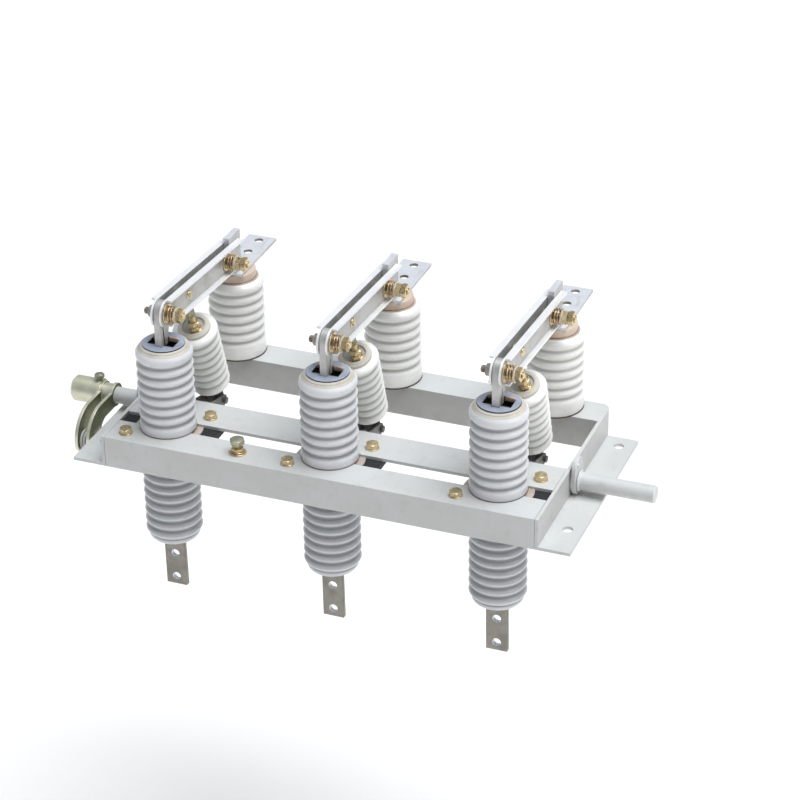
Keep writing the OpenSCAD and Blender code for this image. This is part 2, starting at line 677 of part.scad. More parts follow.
// Two curved drive plates with the drive pin, the hub between them and the sleeve on the shaft end
module drive_crank() color("darkkhaki") {
    translate([0, shaft_y, shaft_z]) {
        plate_yz(drive_in - drive_t, drive_t) drive_outline();
        plate_yz(drive_out, drive_t) drive_outline();
        bar_x(drive_out - drive_pin_out, drive_in, -drive_pin_y, -drive_pin_z, drive_pin_d);
    }
    difference() {
        union() {
            bar_x(drive_out + drive_t, drive_in - drive_t, shaft_y, shaft_z, drive_neck_d);
            bar_x(drive_out - sleeve_l + sleeve_cut, drive_out, shaft_y, shaft_z, sleeve_d);
            translate([drive_out - sleeve_l, shaft_y, shaft_z]) rotate([0, 90, 0])
                cylinder(h = sleeve_cut, d1 = sleeve_d - 2 * sleeve_cut, d2 = sleeve_d);
        }
        bar_x(drive_out - sleeve_l + sleeve_cut, drive_in, shaft_y, shaft_z, shaft_d + 2 * fit);
    }
}

mounted() front_beam();
mounted() back_beam();
mounted() middle_strip();
mounted() end_angle(-1);  // left_end_angle
mounted() end_angle(1);  // right_end_angle
mounted() bushing(-1);  // bushing_left
mounted() bushing(0);  // bushing_middle
mounted() bushing(1);  // bushing_right
mounted() bushing_flange(-1);  // bushing_flange_left
mounted() bushing_flange(0);  // bushing_flange_middle
mounted() bushing_flange(1);  // bushing_flange_right
mounted() bushing_cap(-1);  // bushing_cap_left
mounted() bushing_cap(0);  // bushing_cap_middle
mounted() bushing_cap(1);  // bushing_cap_right
mounted() conductor(-1);  // conductor_left
mounted() conductor(0);  // conductor_middle
mounted() conductor(1);  // conductor_right
mounted() post_insulator(-1);  // post_insulator_left
mounted() post_insulator(0);  // post_insulator_middle
mounted() post_insulator(1);  // post_insulator_right
mounted() post_cap(-1);  // post_cap_left
mounted() post_cap(0);  // post_cap_middle
mounted() post_cap(1);  // post_cap_right
mounted() fixed_contact(-1);  // fixed_contact_left
mounted() fixed_contact(0);  // fixed_contact_middle
mounted() fixed_contact(1);  // fixed_contact_right
mounted() blades(-1);  // blades_left
mounted() blades(0);  // blades_middle
mounted() blades(1);  // blades_right
mounted() blade_bolts(-1);  // blade_bolts_left
mounted() blade_bolts(0);  // blade_bolts_middle
mounted() blade_bolts(1);  // blade_bolts_right
mounted() pressure_springs(-1);  // pressure_springs_left
mounted() pressure_springs(0);  // pressure_springs_middle
mounted() pressure_springs(1);  // pressure_springs_right
mounted() pull_insulator(-1);  // pull_insulator_left
mounted() pull_insulator(0);  // pull_insulator_middle
mounted() pull_insulator(1);  // pull_insulator_right
mounted() pull_fittings(-1);  // pull_fittings_left
mounted() pull_fittings(0);  // pull_fittings_middle
mounted() pull_fittings(1);  // pull_fittings_right
mounted() main_shaft();
mounted() pole_cranks();
mounted() drive_crank();
mounted() bearing_plates();
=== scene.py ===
import math

import bmesh
import bpy
from mathutils import Matrix, Vector


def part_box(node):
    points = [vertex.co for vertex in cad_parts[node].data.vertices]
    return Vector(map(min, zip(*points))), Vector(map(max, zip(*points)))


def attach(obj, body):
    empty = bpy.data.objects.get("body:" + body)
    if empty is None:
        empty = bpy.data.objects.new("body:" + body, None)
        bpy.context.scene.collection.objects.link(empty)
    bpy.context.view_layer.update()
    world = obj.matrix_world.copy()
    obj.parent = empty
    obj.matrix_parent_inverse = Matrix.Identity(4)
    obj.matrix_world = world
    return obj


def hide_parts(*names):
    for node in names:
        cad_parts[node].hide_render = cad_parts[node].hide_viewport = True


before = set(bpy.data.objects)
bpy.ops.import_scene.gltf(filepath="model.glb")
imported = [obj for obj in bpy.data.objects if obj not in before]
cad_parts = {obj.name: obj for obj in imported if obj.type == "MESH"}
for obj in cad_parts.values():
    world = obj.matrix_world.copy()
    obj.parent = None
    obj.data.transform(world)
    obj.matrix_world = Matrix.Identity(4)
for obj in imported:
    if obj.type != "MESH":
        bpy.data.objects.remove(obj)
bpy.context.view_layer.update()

# Viewpoint, floor and light
# The switch is seen from its front right and from above, over a pale floor
# that lies well under it. A broad soft light falls from above and a little from
# the right, so the tops are the brightest faces and the fronts the darkest.
view_place = (1.630930, -3.079279, 1.974721)
view_yaw = math.radians(21.48247)
view_pitch = math.radians(-29.54782)
view_roll = math.radians(-0.79977)
focal_length = 121.044
sky_colour = (0.89, 0.945, 1.0, 1.0)
sky_strength = 0.26
floor_z = -0.75
floor_colour = (0.95, 0.93, 0.90, 1.0)

ahead = Vector((-math.sin(view_yaw) * math.cos(view_pitch),
                math.cos(view_yaw) * math.cos(view_pitch), math.sin(view_pitch)))
level = Vector((math.cos(view_yaw), math.sin(view_yaw), 0.0))
upward = level.cross(ahead)
across = level * math.cos(view_roll) + upward * math.sin(view_roll)
above = upward * math.cos(view_roll) - level * math.sin(view_roll)
lens = bpy.data.cameras.new("viewpoint")
lens.lens = focal_length
lens.sensor_width = 36.0
lens.clip_end = 50.0
viewpoint = bpy.data.objects.new("viewpoint", lens)
view_turn = Matrix((across, above, -ahead)).transposed().to_4x4()
viewpoint.matrix_world = Matrix.Translation(view_place) @ view_turn
bpy.context.scene.collection.objects.link(viewpoint)
bpy.context.scene.camera = viewpoint
bpy.context.scene.view_settings.view_transform = "Standard"

sky = bpy.data.worlds.new("studio")
sky.use_nodes = True
sky.node_tree.nodes["Background"].inputs["Color"].default_value = sky_colour
sky.node_tree.nodes["Background"].inputs["Strength"].default_value = sky_strength
bpy.context.scene.world = sky


def hang_lamp(lamp, place, target, power, tint):
    lamp.energy = power
    lamp.color = tint
    holder = bpy.data.objects.new(lamp.name, lamp)
    aim = (Vector(target) - Vector(place)).to_track_quat("-Z", "Y")
    holder.matrix_world = Matrix.Translation(place) @ aim.to_matrix().to_4x4()
    bpy.context.scene.collection.objects.link(holder)


broad_light = bpy.data.lights.new("broad_light", "SUN")
broad_light.angle = math.radians(50.0)
hang_lamp(broad_light, (0.9, 0.1, 2.0), (0.35, 0.0, 0.0), 3.40, (0.92, 0.94, 0.99))
right_box = bpy.data.lights.new("right_box", "AREA")
right_box.shape = "RECTANGLE"
right_box.size = 1.4
right_box.size_y = 1.2
hang_lamp(right_box, (2.6, -0.5, 1.1), (0.35, 0.0, 0.1), 9.0, (1.0, 0.97, 0.92))

floor_bm = bmesh.new()
bmesh.ops.create_grid(floor_bm, x_segments=2, y_segments=2, size=14.0,
                      matrix=Matrix.Translation((0.35, 0.0, floor_z)))
floor_mesh = bpy.data.meshes.new("pale_floor")
floor_bm.to_mesh(floor_mesh)
floor_bm.free()
pale_floor = bpy.data.objects.new("pale_floor", floor_mesh)
bpy.context.scene.collection.objects.link(pale_floor)
floor_paint = bpy.data.materials.new("pale_floor")
floor_paint.use_nodes = True
floor_paint.node_tree.nodes["Principled BSDF"].inputs["Base Color"].default_value = floor_colour
floor_paint.node_tree.nodes["Principled BSDF"].inputs["Roughness"].default_value = 0.9
floor_mesh.materials.append(floor_paint)

# Frame
# Folded and rolled steel, 5 mm thick: a channel in front, a flat strip behind
# it, a beam at the back and an angle at each end with its mounting flange.
# The parts are welded, then sprayed together in a light grey stoving enamel.


class Tone:
    """A value or colour inside a finish. Sums and products on it become Math nodes."""

    def __init__(self, finish, socket):
        self.finish = finish
        self.socket = socket

    def math(self, operation, first, second):
        return self.finish.node("ShaderNodeMath", {"operation": operation}, {0: first, 1: second})

    def __add__(self, other):
        return self.math("ADD", self, other)

    def __radd__(self, other):
        return self.math("ADD", other, self)

    def __sub__(self, other):
        return self.math("SUBTRACT", self, other)

    def __rsub__(self, other):
        return self.math("SUBTRACT", other, self)

    def __mul__(self, other):
        return self.math("MULTIPLY", self, other)

    def __rmul__(self, other):
        return self.math("MULTIPLY", other, self)


class Finish:
    """A material whose principled shader is fed by the nodes that node() adds."""

    def __init__(self, name, **fixed):
        self.material = bpy.data.materials.new(name)
        self.material.use_nodes = True
        self.tree = self.material.node_tree
        self.shader = self.tree.nodes["Principled BSDF"]
        self.feed(self.shader, {key.replace("_", " "): value for key, value in fixed.items()})
        self.place = self.node("ShaderNodeTexCoord", {}, {}, "Object")

    def feed(self, node, values):
        for key, value in values.items():
            if isinstance(value, Tone):
                self.tree.links.new(value.socket, node.inputs[key])
            elif isinstance(value, tuple) and len(value) == 3 and node.inputs[key].type == "RGBA":
                node.inputs[key].default_value = (*value, 1.0)
            else:
                node.inputs[key].default_value = value

    def node(self, kind, settings, values, output=0):
        made = self.tree.nodes.new(kind)
        for key, value in settings.items():
            setattr(made, key, value)
        self.feed(made, values)
        return Tone(self, made.outputs[output])

    def noise(self, scale, detail=3.0, roughness=0.55, stretch=(1.0, 1.0, 1.0)):
        where = self.node("ShaderNodeMapping", {}, {"Vector": self.place, "Scale": stretch})
        return self.node("ShaderNodeTexNoise", {"noise_dimensions": "3D"}, {
            "Vector": where, "Scale": scale, "Detail": detail, "Roughness": roughness}, "Fac")

    def band(self, value, low, high, start=0.0, end=1.0):
        return self.node("ShaderNodeMapRange", {"interpolation_type": "SMOOTHSTEP"}, {
            "Value": value, "From Min": low, "From Max": high, "To Min": start, "To Max": end})

    def blend(self, share, first, second):
        return self.node("ShaderNodeMix", {"data_type": "RGBA"}, {0: share, 6: first, 7: second}, 2)

    def mottle(self, cloud, first, second, low=0.35, high=0.65):
        return self.blend(self.band(cloud, low, high), first, second)

    def bump(self, height, strength, distance):
        return self.node("ShaderNodeBump", {}, {
            "Height": height, "Strength": strength, "Distance": distance}, "Normal")


def enamel(name, light, shaded, dust):
    """Sprayed stoving enamel: orange peel, cloudy tone, faint dust and small scuffs."""
    coat = Finish(name, Coat_Weight=0.12, Coat_Roughness=0.3, Specular_IOR_Level=0.45)
    cloud = coat.noise(9.0, 4.0)
    fine = coat.noise(75.0, 3.0)
    scuff = coat.band(coat.noise(38.0, 6.0, 0.7, (1.0, 3.0, 3.0)), 0.63, 0.72)
    body = coat.mottle(cloud, light, shaded)
    dusty = coat.blend(coat.band(fine, 0.5, 0.75, 0.0, 0.35), body, dust)
    coat.feed(coat.shader, {
        "Base Color": coat.blend(scuff * 0.3, dusty, dust),
        "Roughness": 0.36 + 0.14 * fine + 0.12 * scuff,
        "Normal": coat.bump(coat.noise(420.0, 2.0) + 0.5 * fine, 0.22, 0.0004)})
    return coat


frame_enamel = enamel("frame_enamel", (0.60, 0.615, 0.60), (0.565, 0.575, 0.555), (0.50, 0.485, 0.44))
# A lighter copy of the enamel for the rounded edges: a painted highlight along them.
frame_edge_highlight = enamel("frame_painted_edge_highlight", (0.70, 0.71, 0.70), (0.66, 0.665, 0.65), (0.56, 0.54, 0.49))
# A darker copy of the enamel: painted shade for the faces turned into the frame.
frame_shade_coat = enamel("frame_painted_shade_enamel", (0.46, 0.46, 0.44), (0.41, 0.41, 0.39), (0.34, 0.325, 0.285))
# A darker enamel for the end angles' outer faces.
frame_outer_darker = enamel("frame_outer_face_enamel", (0.53, 0.535, 0.515), (0.49, 0.495, 0.475), (0.42, 0.405, 0.36))
corner_angle = math.radians(32.0)


def copy_of(node):
    """The merged shape of a node of the frame model, with its flat faces made whole."""
    bm = bmesh.new()
    bm.from_mesh(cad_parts[node].data)
    bmesh.ops.remove_doubles(bm, verts=bm.verts, dist=1e-6)
    bmesh.ops.dissolve_limit(bm, angle_limit=math.radians(0.6), verts=bm.verts, edges=bm.edges)
    return bm


def sawn(bm, point, outward, **cleared):
    """Saws a shape along a plane and gives back the edges of the cut."""
    cut = bmesh.ops.bisect_plane(bm, geom=bm.verts[:] + bm.edges[:] + bm.faces[:], dist=1e-7,
                                 plane_co=point, plane_no=outward, **cleared)
    return [item for item in cut["geom_cut"] if isinstance(item, bmesh.types.BMEdge)]


def fit_piece(name, bm, finishes, body, nodes=(), edge=0.0, edge_finish=-1):
    """Makes a piece of a finished shape, with rounded edges where `edge` gives their width."""
    mesh = bpy.data.meshes.new(name)
    bm.to_mesh(mesh)
    bm.free()
    for finish in finishes:
        mesh.materials.append(finish.material)
    mesh.shade_smooth()
    piece = bpy.data.objects.new(name, mesh)
    bpy.context.scene.collection.objects.link(piece)
    if edge > 0.0:
        bevel = piece.modifiers.new("rounded_edges", "BEVEL")
        bevel.width = edge
        bevel.segments = 2
        bevel.limit_method = "ANGLE"
        bevel.angle_limit = corner_angle
        bevel.material = edge_finish
        bevel.use_clamp_overlap = True
        piece.modifiers.new("even_shading", "WEIGHTED_NORMAL")
    else:
        mesh.set_sharp_from_angle(angle=corner_angle)
    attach(piece, body)
    if nodes:
        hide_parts(*nodes)


square_on = 0.9
steel_edge = 0.0007
joint_gap = 0.0005
fold_back = 0.015
fold_drop = 0.0021
shaded_side = {"left_end_angle": Vector((1.0, 0.0, 0.0)), "right_end_angle": Vector((-1.0, 0.0, 0.0)),
               "back_beam": Vector((0.0, -1.0, 0.0))}
for member in ("front_beam", "back_beam", "middle_strip", "left_end_angle", "right_end_angle"):
    steel = copy_of(member)
    member_low, member_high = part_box(member)
    if member in ("front_beam", "middle_strip"):
        for vert in steel.verts:
            if vert.co.x < member_low.x + joint_gap:
                vert.co.x += joint_gap
            elif vert.co.x > member_high.x - joint_gap:
                vert.co.x -= joint_gap
    if member == "middle_strip":
        fold_y = member_high.y - fold_back
        sawn(steel, (0.0, fold_y, 0.0), (0.0, 1.0, 0.0))
        for vert in steel.verts:
            vert.co.z -= fold_drop * max(vert.co.y - fold_y, 0.0) / fold_back
    # The end angles' inner faces and the back beam's front take the painted shade enamel.
    for face in steel.faces:
        facing = face.normal.dot(shaded_side.get(member, Vector()))
        # The end angles' outer faces take the darker outer face enamel.
        faces_outward = facing < -square_on and member != "back_beam"
        face.material_index = 2 if facing > square_on else 3 if faces_outward else 0
    fit_piece(member + "_steel", steel, [frame_enamel, frame_edge_highlight, frame_shade_coat, frame_outer_darker], "frame",
              [member], edge=steel_edge, edge_finish=1)

# Bearing plates
# Upright round-ended plates of 6 mm steel outside both end angles. A turned
# ring stands between each plate and its angle, and a small round rivet above
# the shaft holds the plate. They are sprayed with the frame.


def turned(profile, steps, place=Matrix(), closed=False):
    """A shape turned round its own Z axis from (radius, height) points, from axis to axis or closed."""
    bm = bmesh.new()
    corners = [bm.verts.new((radius, 0.0, height)) for radius, height in profile]
    ends = corners[1:] + corners[:1] if closed else corners[1:]
    lines = [bm.edges.new(pair) for pair in zip(corners, ends)]
    bmesh.ops.spin(bm, geom=corners + lines, cent=(0.0, 0.0, 0.0), axis=(0.0, 0.0, 1.0),
                   angle=math.tau, steps=steps, use_merge=True)
    bmesh.ops.remove_doubles(bm, verts=bm.verts, dist=1e-7)
    bmesh.ops.recalc_face_normals(bm, faces=bm.faces)
    bmesh.ops.transform(bm, matrix=place, verts=bm.verts)
    return bm


def join(bm, part, finish=0):
    """Sets a finished part into a piece, all in the finish of that number."""
    for face in part.faces:
        face.material_index = finish
    mesh = bpy.data.meshes.new("part")
    part.to_mesh(mesh)
    part.free()
    bm.from_mesh(mesh)
    bpy.data.meshes.remove(mesh)


along_x = Matrix.Rotation(math.radians(90.0), 4, "Y")
upside_down = Matrix.Rotation(math.pi, 4, "X")
rivet_y = -0.0135
rivet_z = 0.0535
rivet_head = [(0.0, 0.0022), (0.0016, 0.0020), (0.0028, 0.0012), (0.0032, 0.0), (0.0032, -0.002),
              (0.0, -0.002)]
plates = copy_of("bearing_plates")
plate_low, plate_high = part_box("bearing_plates")
for end, turn in ((plate_high.x, along_x), (plate_low.x, along_x @ upside_down)):
    join(plates, turned(rivet_head, 20, Matrix.Translation((end, rivet_y, rivet_z)) @ turn))
fit_piece("bearing_plates_steel", plates, [frame_enamel, frame_edge_highlight], "frame",
          ["bearing_plates"], edge=steel_edge, edge_finish=1)

# Bushings
# Wet-process porcelain, turned, dipped in a bluish white glaze and fired, so the
# ribs are soft waves and the glaze gathers in the grooves, which are also painted
# darker as shade. Cream plaster smears the top rim, the foot stands on a thin cork
# gasket whose dark colour is a painted shadow line, and the lower half, under the
# frame, carries a darker glaze as painted shade.
pole_sides = ("left", "middle", "right")
beam_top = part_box("front_beam")[1].z
upright = Vector((0.0, 0.0, 1.0))
bushing_radius = 0.041
bushing_low_radius = 0.0415
bushing_neck = 0.036
bore_radius = 0.0225
rib_pitch = 0.0154
low_rib_pitch = 0.0151
groove_depth = 0.0038
wave_points = 10
low_ribs_from = 0.0115
low_ribs_length = 0.1530
top_ribs_from = 0.0028
top_ribbed_from = 0.0115
top_ribbed_to = 0.1185
plaster_depth = 0.0050
foot_rim = [(0.0, 0.004), (0.0185, 0.004), (0.0195, 0.0012), (0.0210, 0.0), (0.0262, 0.0), (0.0305, 0.0010),
            (0.0341, 0.0031), (0.0366, 0.0060), (0.0374, 0.0085)]
shoulder = [(bushing_radius - 0.0022, 0.0), (bushing_radius - 0.0012, 0.0004),
            (bushing_radius - 0.0004, 0.0012), (bushing_radius, 0.0024), (bushing_radius, 0.0105)]
top_rim = [(bushing_radius, -0.0105), (bushing_radius - 0.0005, -0.0085), (bushing_radius - 0.0017, -0.0068),
           (bushing_radius - 0.0035, -0.0047), (bushing_radius - 0.0058, -0.0024), (0.0335, -0.0008),
           (0.0326, 0.0), (0.0316, -0.0001), (0.0311, -0.0007), (0.0310, -0.0015), (0.0230, -0.0015),
           (bore_radius, -0.0030), (bore_radius, -0.030), (0.0, -0.030)]
gasket_edge = [(0.0405, -0.0003), (0.0413, 0.0002), (0.0411, 0.0010)]


def axis_of(node):
    """The upright axis through the middle of a node, as a place at height zero."""
    low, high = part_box(node)
    return Matrix.Translation(((low.x + high.x) / 2, (low.y + high.y) / 2, 0.0))


def raised(profile, height):
    """The same (radius, height) points, lifted to a height."""
    return [(radius, height + z) for radius, z in profile]


def thin_disc(edge, height, place):
    """A thin round disc, from the (radius, height) points of its edge."""
    return turned(raised([(0.0, edge[0][1]), *edge, (0.0, edge[-1][1])], height), 72, place)


def rib_waves(start, pitch, count, radius, end_radius, depth):
    """Points along a row of rounded ribs, from the middle of the first groove to the last."""
    steps = count * wave_points
    return [(radius + (end_radius - radius) * k / steps
             - depth * (0.5 + 0.5 * math.cos(math.tau * k / wave_points)), start + pitch * k / wave_points)
            for k in range(steps + 1)]


def glaze(name, crest, pool_shade_tone, groove, speck, tint):
    """Fired glaze over porcelain with iron specks and fine pinholes. It darkens with groove depth, partly as
    pooled glaze and dirt and partly as painted shade in the grooves.
    """
    coat = Finish(name, Coat_Weight=0.28, Coat_Roughness=0.12, Specular_IOR_Level=0.45)
    depth = coat.node("ShaderNodeAttribute", {"attribute_name": "groove"}, {}, "Fac")
    cloud = coat.noise(14.0, 3.0, 0.5, (1.0, 1.0, 0.45))
    drift = coat.noise(42.0, 4.0, 0.6, (1.0, 1.0, 2.2))
    cells = coat.node("ShaderNodeTexVoronoi", {"feature": "F1"}, {"Vector": coat.place, "Scale": 210.0},
                      "Distance")
    specks = (1.0 - coat.band(cells, 0.05, 0.13)) * coat.band(coat.noise(60.0, 1.0), 0.56, 0.6)
    ground = coat.mottle(cloud, crest, tint)
    # Darker with groove depth: pooled glaze and dirt, and painted shade in the grooves.
    glaze_pool_and_shade = coat.blend(coat.band(depth + 0.15 * drift, 0.30, 0.95), ground, pool_shade_tone)
    dirt_and_groove_shade = coat.blend(coat.band(depth + 0.2 * drift, 0.70, 1.12, 0.0, 0.9), glaze_pool_and_shade, groove)
    coat.feed(coat.shader, {
        "Base Color": coat.blend(specks * 0.7, dirt_and_groove_shade, speck),
        "Roughness": 0.22 + 0.16 * coat.band(depth, 0.5, 1.0) + 0.12 * drift,
        "Normal": coat.bump(coat.noise(150.0, 2.0) + 0.6 * drift - 0.5 * specks, 0.25, 0.0006)})
    return coat


def matt(name, first, second, scale, fine_scale, roughness, swing=0.25, detail=4.0):
    """A dull finish of two finely mixed tones, with a roughness that wanders."""
    coat = Finish(name, Specular_IOR_Level=0.3)
    coat.feed(coat.shader, {
        "Base Color": coat.blend(coat.noise(scale, detail), first, second),
        "Roughness": roughness + swing * coat.noise(fine_scale)})
    return coat


def mark_grooves(bm, centre, crest, depth, ribbed, plain=0.0):
    """Stores how deep each point lies under the ribs' crests, which the glaze reads. Parts without ribs get
    `plain`, where a value above zero darkens the glaze as painted shade.
    """
    layer = bm.verts.layers.float.new("groove")
    for vert in bm.verts:
        reach = (vert.co - centre).cross(upright).length
        vert[layer] = min(max((crest(vert.co) - reach) / depth, 0.0), 1.0) if ribbed(vert.co) else plain


bushing_glaze = glaze("bushing_glaze", (0.735, 0.74, 0.745), (0.545, 0.555, 0.565), (0.31, 0.315, 0.325),
                      (0.30, 0.22, 0.15), (0.69, 0.70, 0.715))
# A darker copy of the glaze: painted shade on the bushings' lower half, under the frame.
lower_shade_glaze = glaze("bushing_lower_shade_glaze", (0.60, 0.615, 0.63), (0.43, 0.44, 0.45), (0.235, 0.24, 0.245),
                   (0.26, 0.19, 0.13), (0.57, 0.59, 0.615))
# Near black: painted shade inside the bushing's bore and on the bar's top in the cap's slot.
bore_shade = Finish("painted_bore_shade", Base_Color=(0.05, 0.045, 0.04))
bore_shade.feed(bore_shade.shader, {"Roughness": 0.7 + 0.2 * bore_shade.noise(90.0)})
plaster = Finish("cream_plaster", Roughness=0.7)
plaster.feed(plaster.shader, {
    "Base Color": plaster.mottle(plaster.noise(40.0, 4.0), (0.62, 0.59, 0.515), (0.55, 0.52, 0.45)),
    "Normal": plaster.bump(plaster.noise(240.0, 5.0, 0.65), 0.5, 0.0008)})
# A thin gasket whose dark colour is a painted shadow line round the bushing's foot.
foot_seal_shadow = matt("cork_seal_shadow_line", (0.13, 0.12, 0.105), (0.23, 0.21, 0.185), 110.0, 240.0, 0.65)

for side in pole_sides:
    low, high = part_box("bushing_" + side)
    axis = axis_of("bushing_" + side)
    ribs_low = low.z + low_ribs_from
    waves = rib_waves(beam_top + top_ribs_from, rib_pitch, 8, bushing_radius, bushing_radius, groove_depth)
    outline = raised(foot_rim, low.z)
    outline += rib_waves(ribs_low, low_rib_pitch, 10, bushing_low_radius, bushing_low_radius, groove_depth)
    outline += [(bushing_neck, ribs_low + low_ribs_length), (bushing_neck, beam_top - 0.0002)]
    outline += raised(shoulder, beam_top)
    outline += [(r, z) for r, z in waves if beam_top + top_ribbed_from < z < beam_top + top_ribbed_to]
    outline += raised(top_rim, high.z)
    shell = turned(outline, 80, axis)
    for face in shell.faces:
        middle = face.calc_center_median()
        # Below the frame the glaze is the darker copy, painted shade.
        if middle.z < 0.0:
            face.material_index = 3
        # The bore's wall takes the painted bore shade.
        elif (middle - axis.translation).xy.length < bore_radius + 0.0004:
            face.material_index = 1
        elif middle.z > high.z - plaster_depth:
            face.material_index = 2
    mark_grooves(shell, axis.translation,
                 lambda point: bushing_radius if point.z > beam_top else bushing_low_radius, groove_depth,
                 lambda point: ribs_low - 0.001 < point.z < high.z - 0.011)
    fit_piece("porcelain_bushing_" + side, shell, [bushing_glaze, bore_shade, plaster, lower_shade_glaze], "frame",
              ["bushing_" + side])
    fit_piece("foot_gasket_" + side, thin_disc(gasket_edge, beam_top, axis), [foot_seal_shadow], "frame")

# Flanges, cement rings and flange bolts
# An eight-sided cast iron flange, painted black, grips the bushing's neck from
# under the frame. A ring of pinkish grey cement is trowelled in round the neck,
# and two yellow-passivated hexagon bolts pass down through frame and flange.
flange_bolt_x = 0.048
flange_bolt_y = 0.040
flange_corner = 0.050
flange_cut = math.radians(25.0)
thread_pitch = 0.0015
bolt_hole = 0.0052
bolt_shank = 0.0048
bolt_flats = 0.0165
head_height = 0.0066
nut_height = 0.0078
washer_radius = 0.0098
washer_thickness = 0.0018
grout_inner = 0.0355
grout_outer = 0.0500
grout_thickness = 0.0022
grout_sunk = 0.0006
grout_wander = 0.0004


def up(distance):
    return Matrix.Translation((0.0, 0.0, distance))


def twist(angle):
    return Matrix.Rotation(angle, 4, "Z")


def hexagon(flats, height, place, both=True):
    """A hexagon nut or head: a turned blank, chamfered on one or both sides, cut to its six flats."""
    corner = flats / math.sqrt(3.0)
    crown = flats * 0.475
    drop = (corner - crown) * 0.5
    bm = turned([(0.0, 0.0), (crown if both else corner, 0.0), (corner, drop if both else 0.0),
                 (corner, height - drop), (crown, height), (0.0, height)], 48)
    for k in range(6):
        angle = math.radians(60.0 * k)
        out = Vector((math.cos(angle), math.sin(angle), 0.0))
        bmesh.ops.edgeloop_fill(bm, edges=sawn(bm, out * flats / 2, out, clear_outer=True))
    bmesh.ops.recalc_face_normals(bm, faces=bm.faces)
    bmesh.ops.transform(bm, matrix=place, verts=bm.verts)
    return bm


def pin(radius, low, high, place, steps=20):
    """A plain round shank from `low` up to `high`."""
    return turned([(0.0, low), (radius, low), (radius, high), (0.0, high)], steps, place)


def threaded(radius, low, high, place, steps=24):
    """A threaded bolt end with a chamfered tip, from `low` up to `high`."""
    outline = [(0.0, low), (radius, low)]
    turns = int((high - low - 0.0012) / thread_pitch)
    for k in range(turns):
        base = low + k * thread_pitch
        outline += [(radius, base + 0.15 * thread_pitch), (radius * 0.87, base + 0.5 * thread_pitch),
                    (radius, base + 0.85 * thread_pitch)]
    outline += [(radius, high - 0.0010), (radius * 0.8, high), (0.0, high)]
    return turned(outline, steps, place)


def washer(inner, outer, thick, place, steps=40):
    """A plain washer with softened rims."""
    soft = min(thick * 0.25, 0.0004)
    return turned([(inner, 0.0), (outer - soft, 0.0), (outer, soft), (outer, thick - soft),
                   (outer - soft, thick), (inner, thick)], steps, place, closed=True)


def cut_off(bm, point, outward, **cleared):
    """Saws off what lies on one side of a plane and closes the cut."""
    bmesh.ops.holes_fill(bm, edges=sawn(bm, point, outward, **cleared))
    bmesh.ops.recalc_face_normals(bm, faces=bm.faces)
    return bm


cast_iron = Finish("black_cast_iron", Specular_IOR_Level=0.35)
cast_grain = cast_iron.noise(190.0, 5.0, 0.65)
cast_rust = cast_iron.band(cast_iron.noise(30.0, 5.0, 0.6), 0.6, 0.72)
cast_iron.feed(cast_iron.shader, {
    "Base Color": cast_iron.blend(cast_rust * 0.5, (0.022, 0.022, 0.024), (0.075, 0.045, 0.03)),
    "Roughness": 0.55 + 0.25 * cast_grain,
    "Normal": cast_iron.bump(cast_grain, 0.6, 0.0008)})

cement = Finish("setting_cement", Roughness=0.85)
cement.feed(cement.shader, {
    "Base Color": cement.mottle(cement.noise(45.0, 3.0), (0.52, 0.43, 0.37), (0.42, 0.35, 0.305)),
    "Normal": cement.bump(cement.noise(260.0, 6.0, 0.7), 0.7, 0.0010)})

zinc = Finish("yellow_zinc", Metallic=0.85)
zinc_cloud = zinc.noise(70.0, 3.0)
zinc_film = zinc.noise(190.0, 4.0)
zinc_ground = zinc.mottle(zinc_cloud, (0.76, 0.62, 0.37), (0.66, 0.54, 0.33))
zinc_sheen = zinc.blend(zinc.band(zinc_film, 0.52, 0.72), zinc_ground, (0.62, 0.41, 0.24))
zinc.feed(zinc.shader, {
    "Base Color": zinc.blend(zinc.band(zinc_film, 0.3, 0.42, 0.8, 0.0), zinc_sheen, (0.28, 0.19, 0.10)),
    "Roughness": 0.19 + 0.22 * zinc_film,
    "Normal": zinc.bump(zinc_film + 0.5 * zinc_cloud, 0.2, 0.0005)})

for side in pole_sides:
    axis = axis_of("bushing_" + side)
    flange_low, flange_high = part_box("bushing_flange_" + side)
    flange = copy_of("bushing_flange_" + side)
    if side != "left":
        cut_off(flange, axis @ Vector((-flange_corner, 0.0, 0.0)),
                (-math.cos(flange_cut), math.sin(flange_cut), 0.0), clear_outer=True)
    fit_piece("cast_flange_" + side, flange, [cast_iron], "frame",
              ["bushing_flange_" + side], edge=0.0012)
    grout = washer(grout_inner, grout_outer, grout_thickness, axis @ up(flange_high.z - grout_sunk), 64)
    bmesh.ops.subdivide_edges(grout, edges=grout.edges, cuts=1, use_grid_fill=True)
    for vert in grout.verts:
        vert.co.z += grout_wander * math.sin(vert.co.x * 900.0) * math.sin(vert.co.y * 1100.0)
    fit_piece("cement_ring_" + side, grout, [cement], "frame")
    flange_bolts = bmesh.new()
    for away in (-1.0, 1.0):
        foot = axis @ Matrix.Translation((away * flange_bolt_x, away * flange_bolt_y, beam_top))
        nut = foot @ up(flange_low.z - beam_top - nut_height) @ twist(0.3)
        head = foot @ up(washer_thickness) @ twist(0.5 + away)
        join(flange_bolts, washer(bolt_hole, washer_radius, washer_thickness, foot))
        join(flange_bolts, hexagon(bolt_flats, head_height, head, both=False))
        join(flange_bolts, pin(bolt_shank, -0.0140, 0.002, foot))
        join(flange_bolts, hexagon(bolt_flats, nut_height, nut))
        join(flange_bolts, threaded(bolt_shank, 0.0145, 0.033, foot @ upside_down, 20))
    fit_piece("flange_bolts_" + side, flange_bolts, [zinc], "frame")

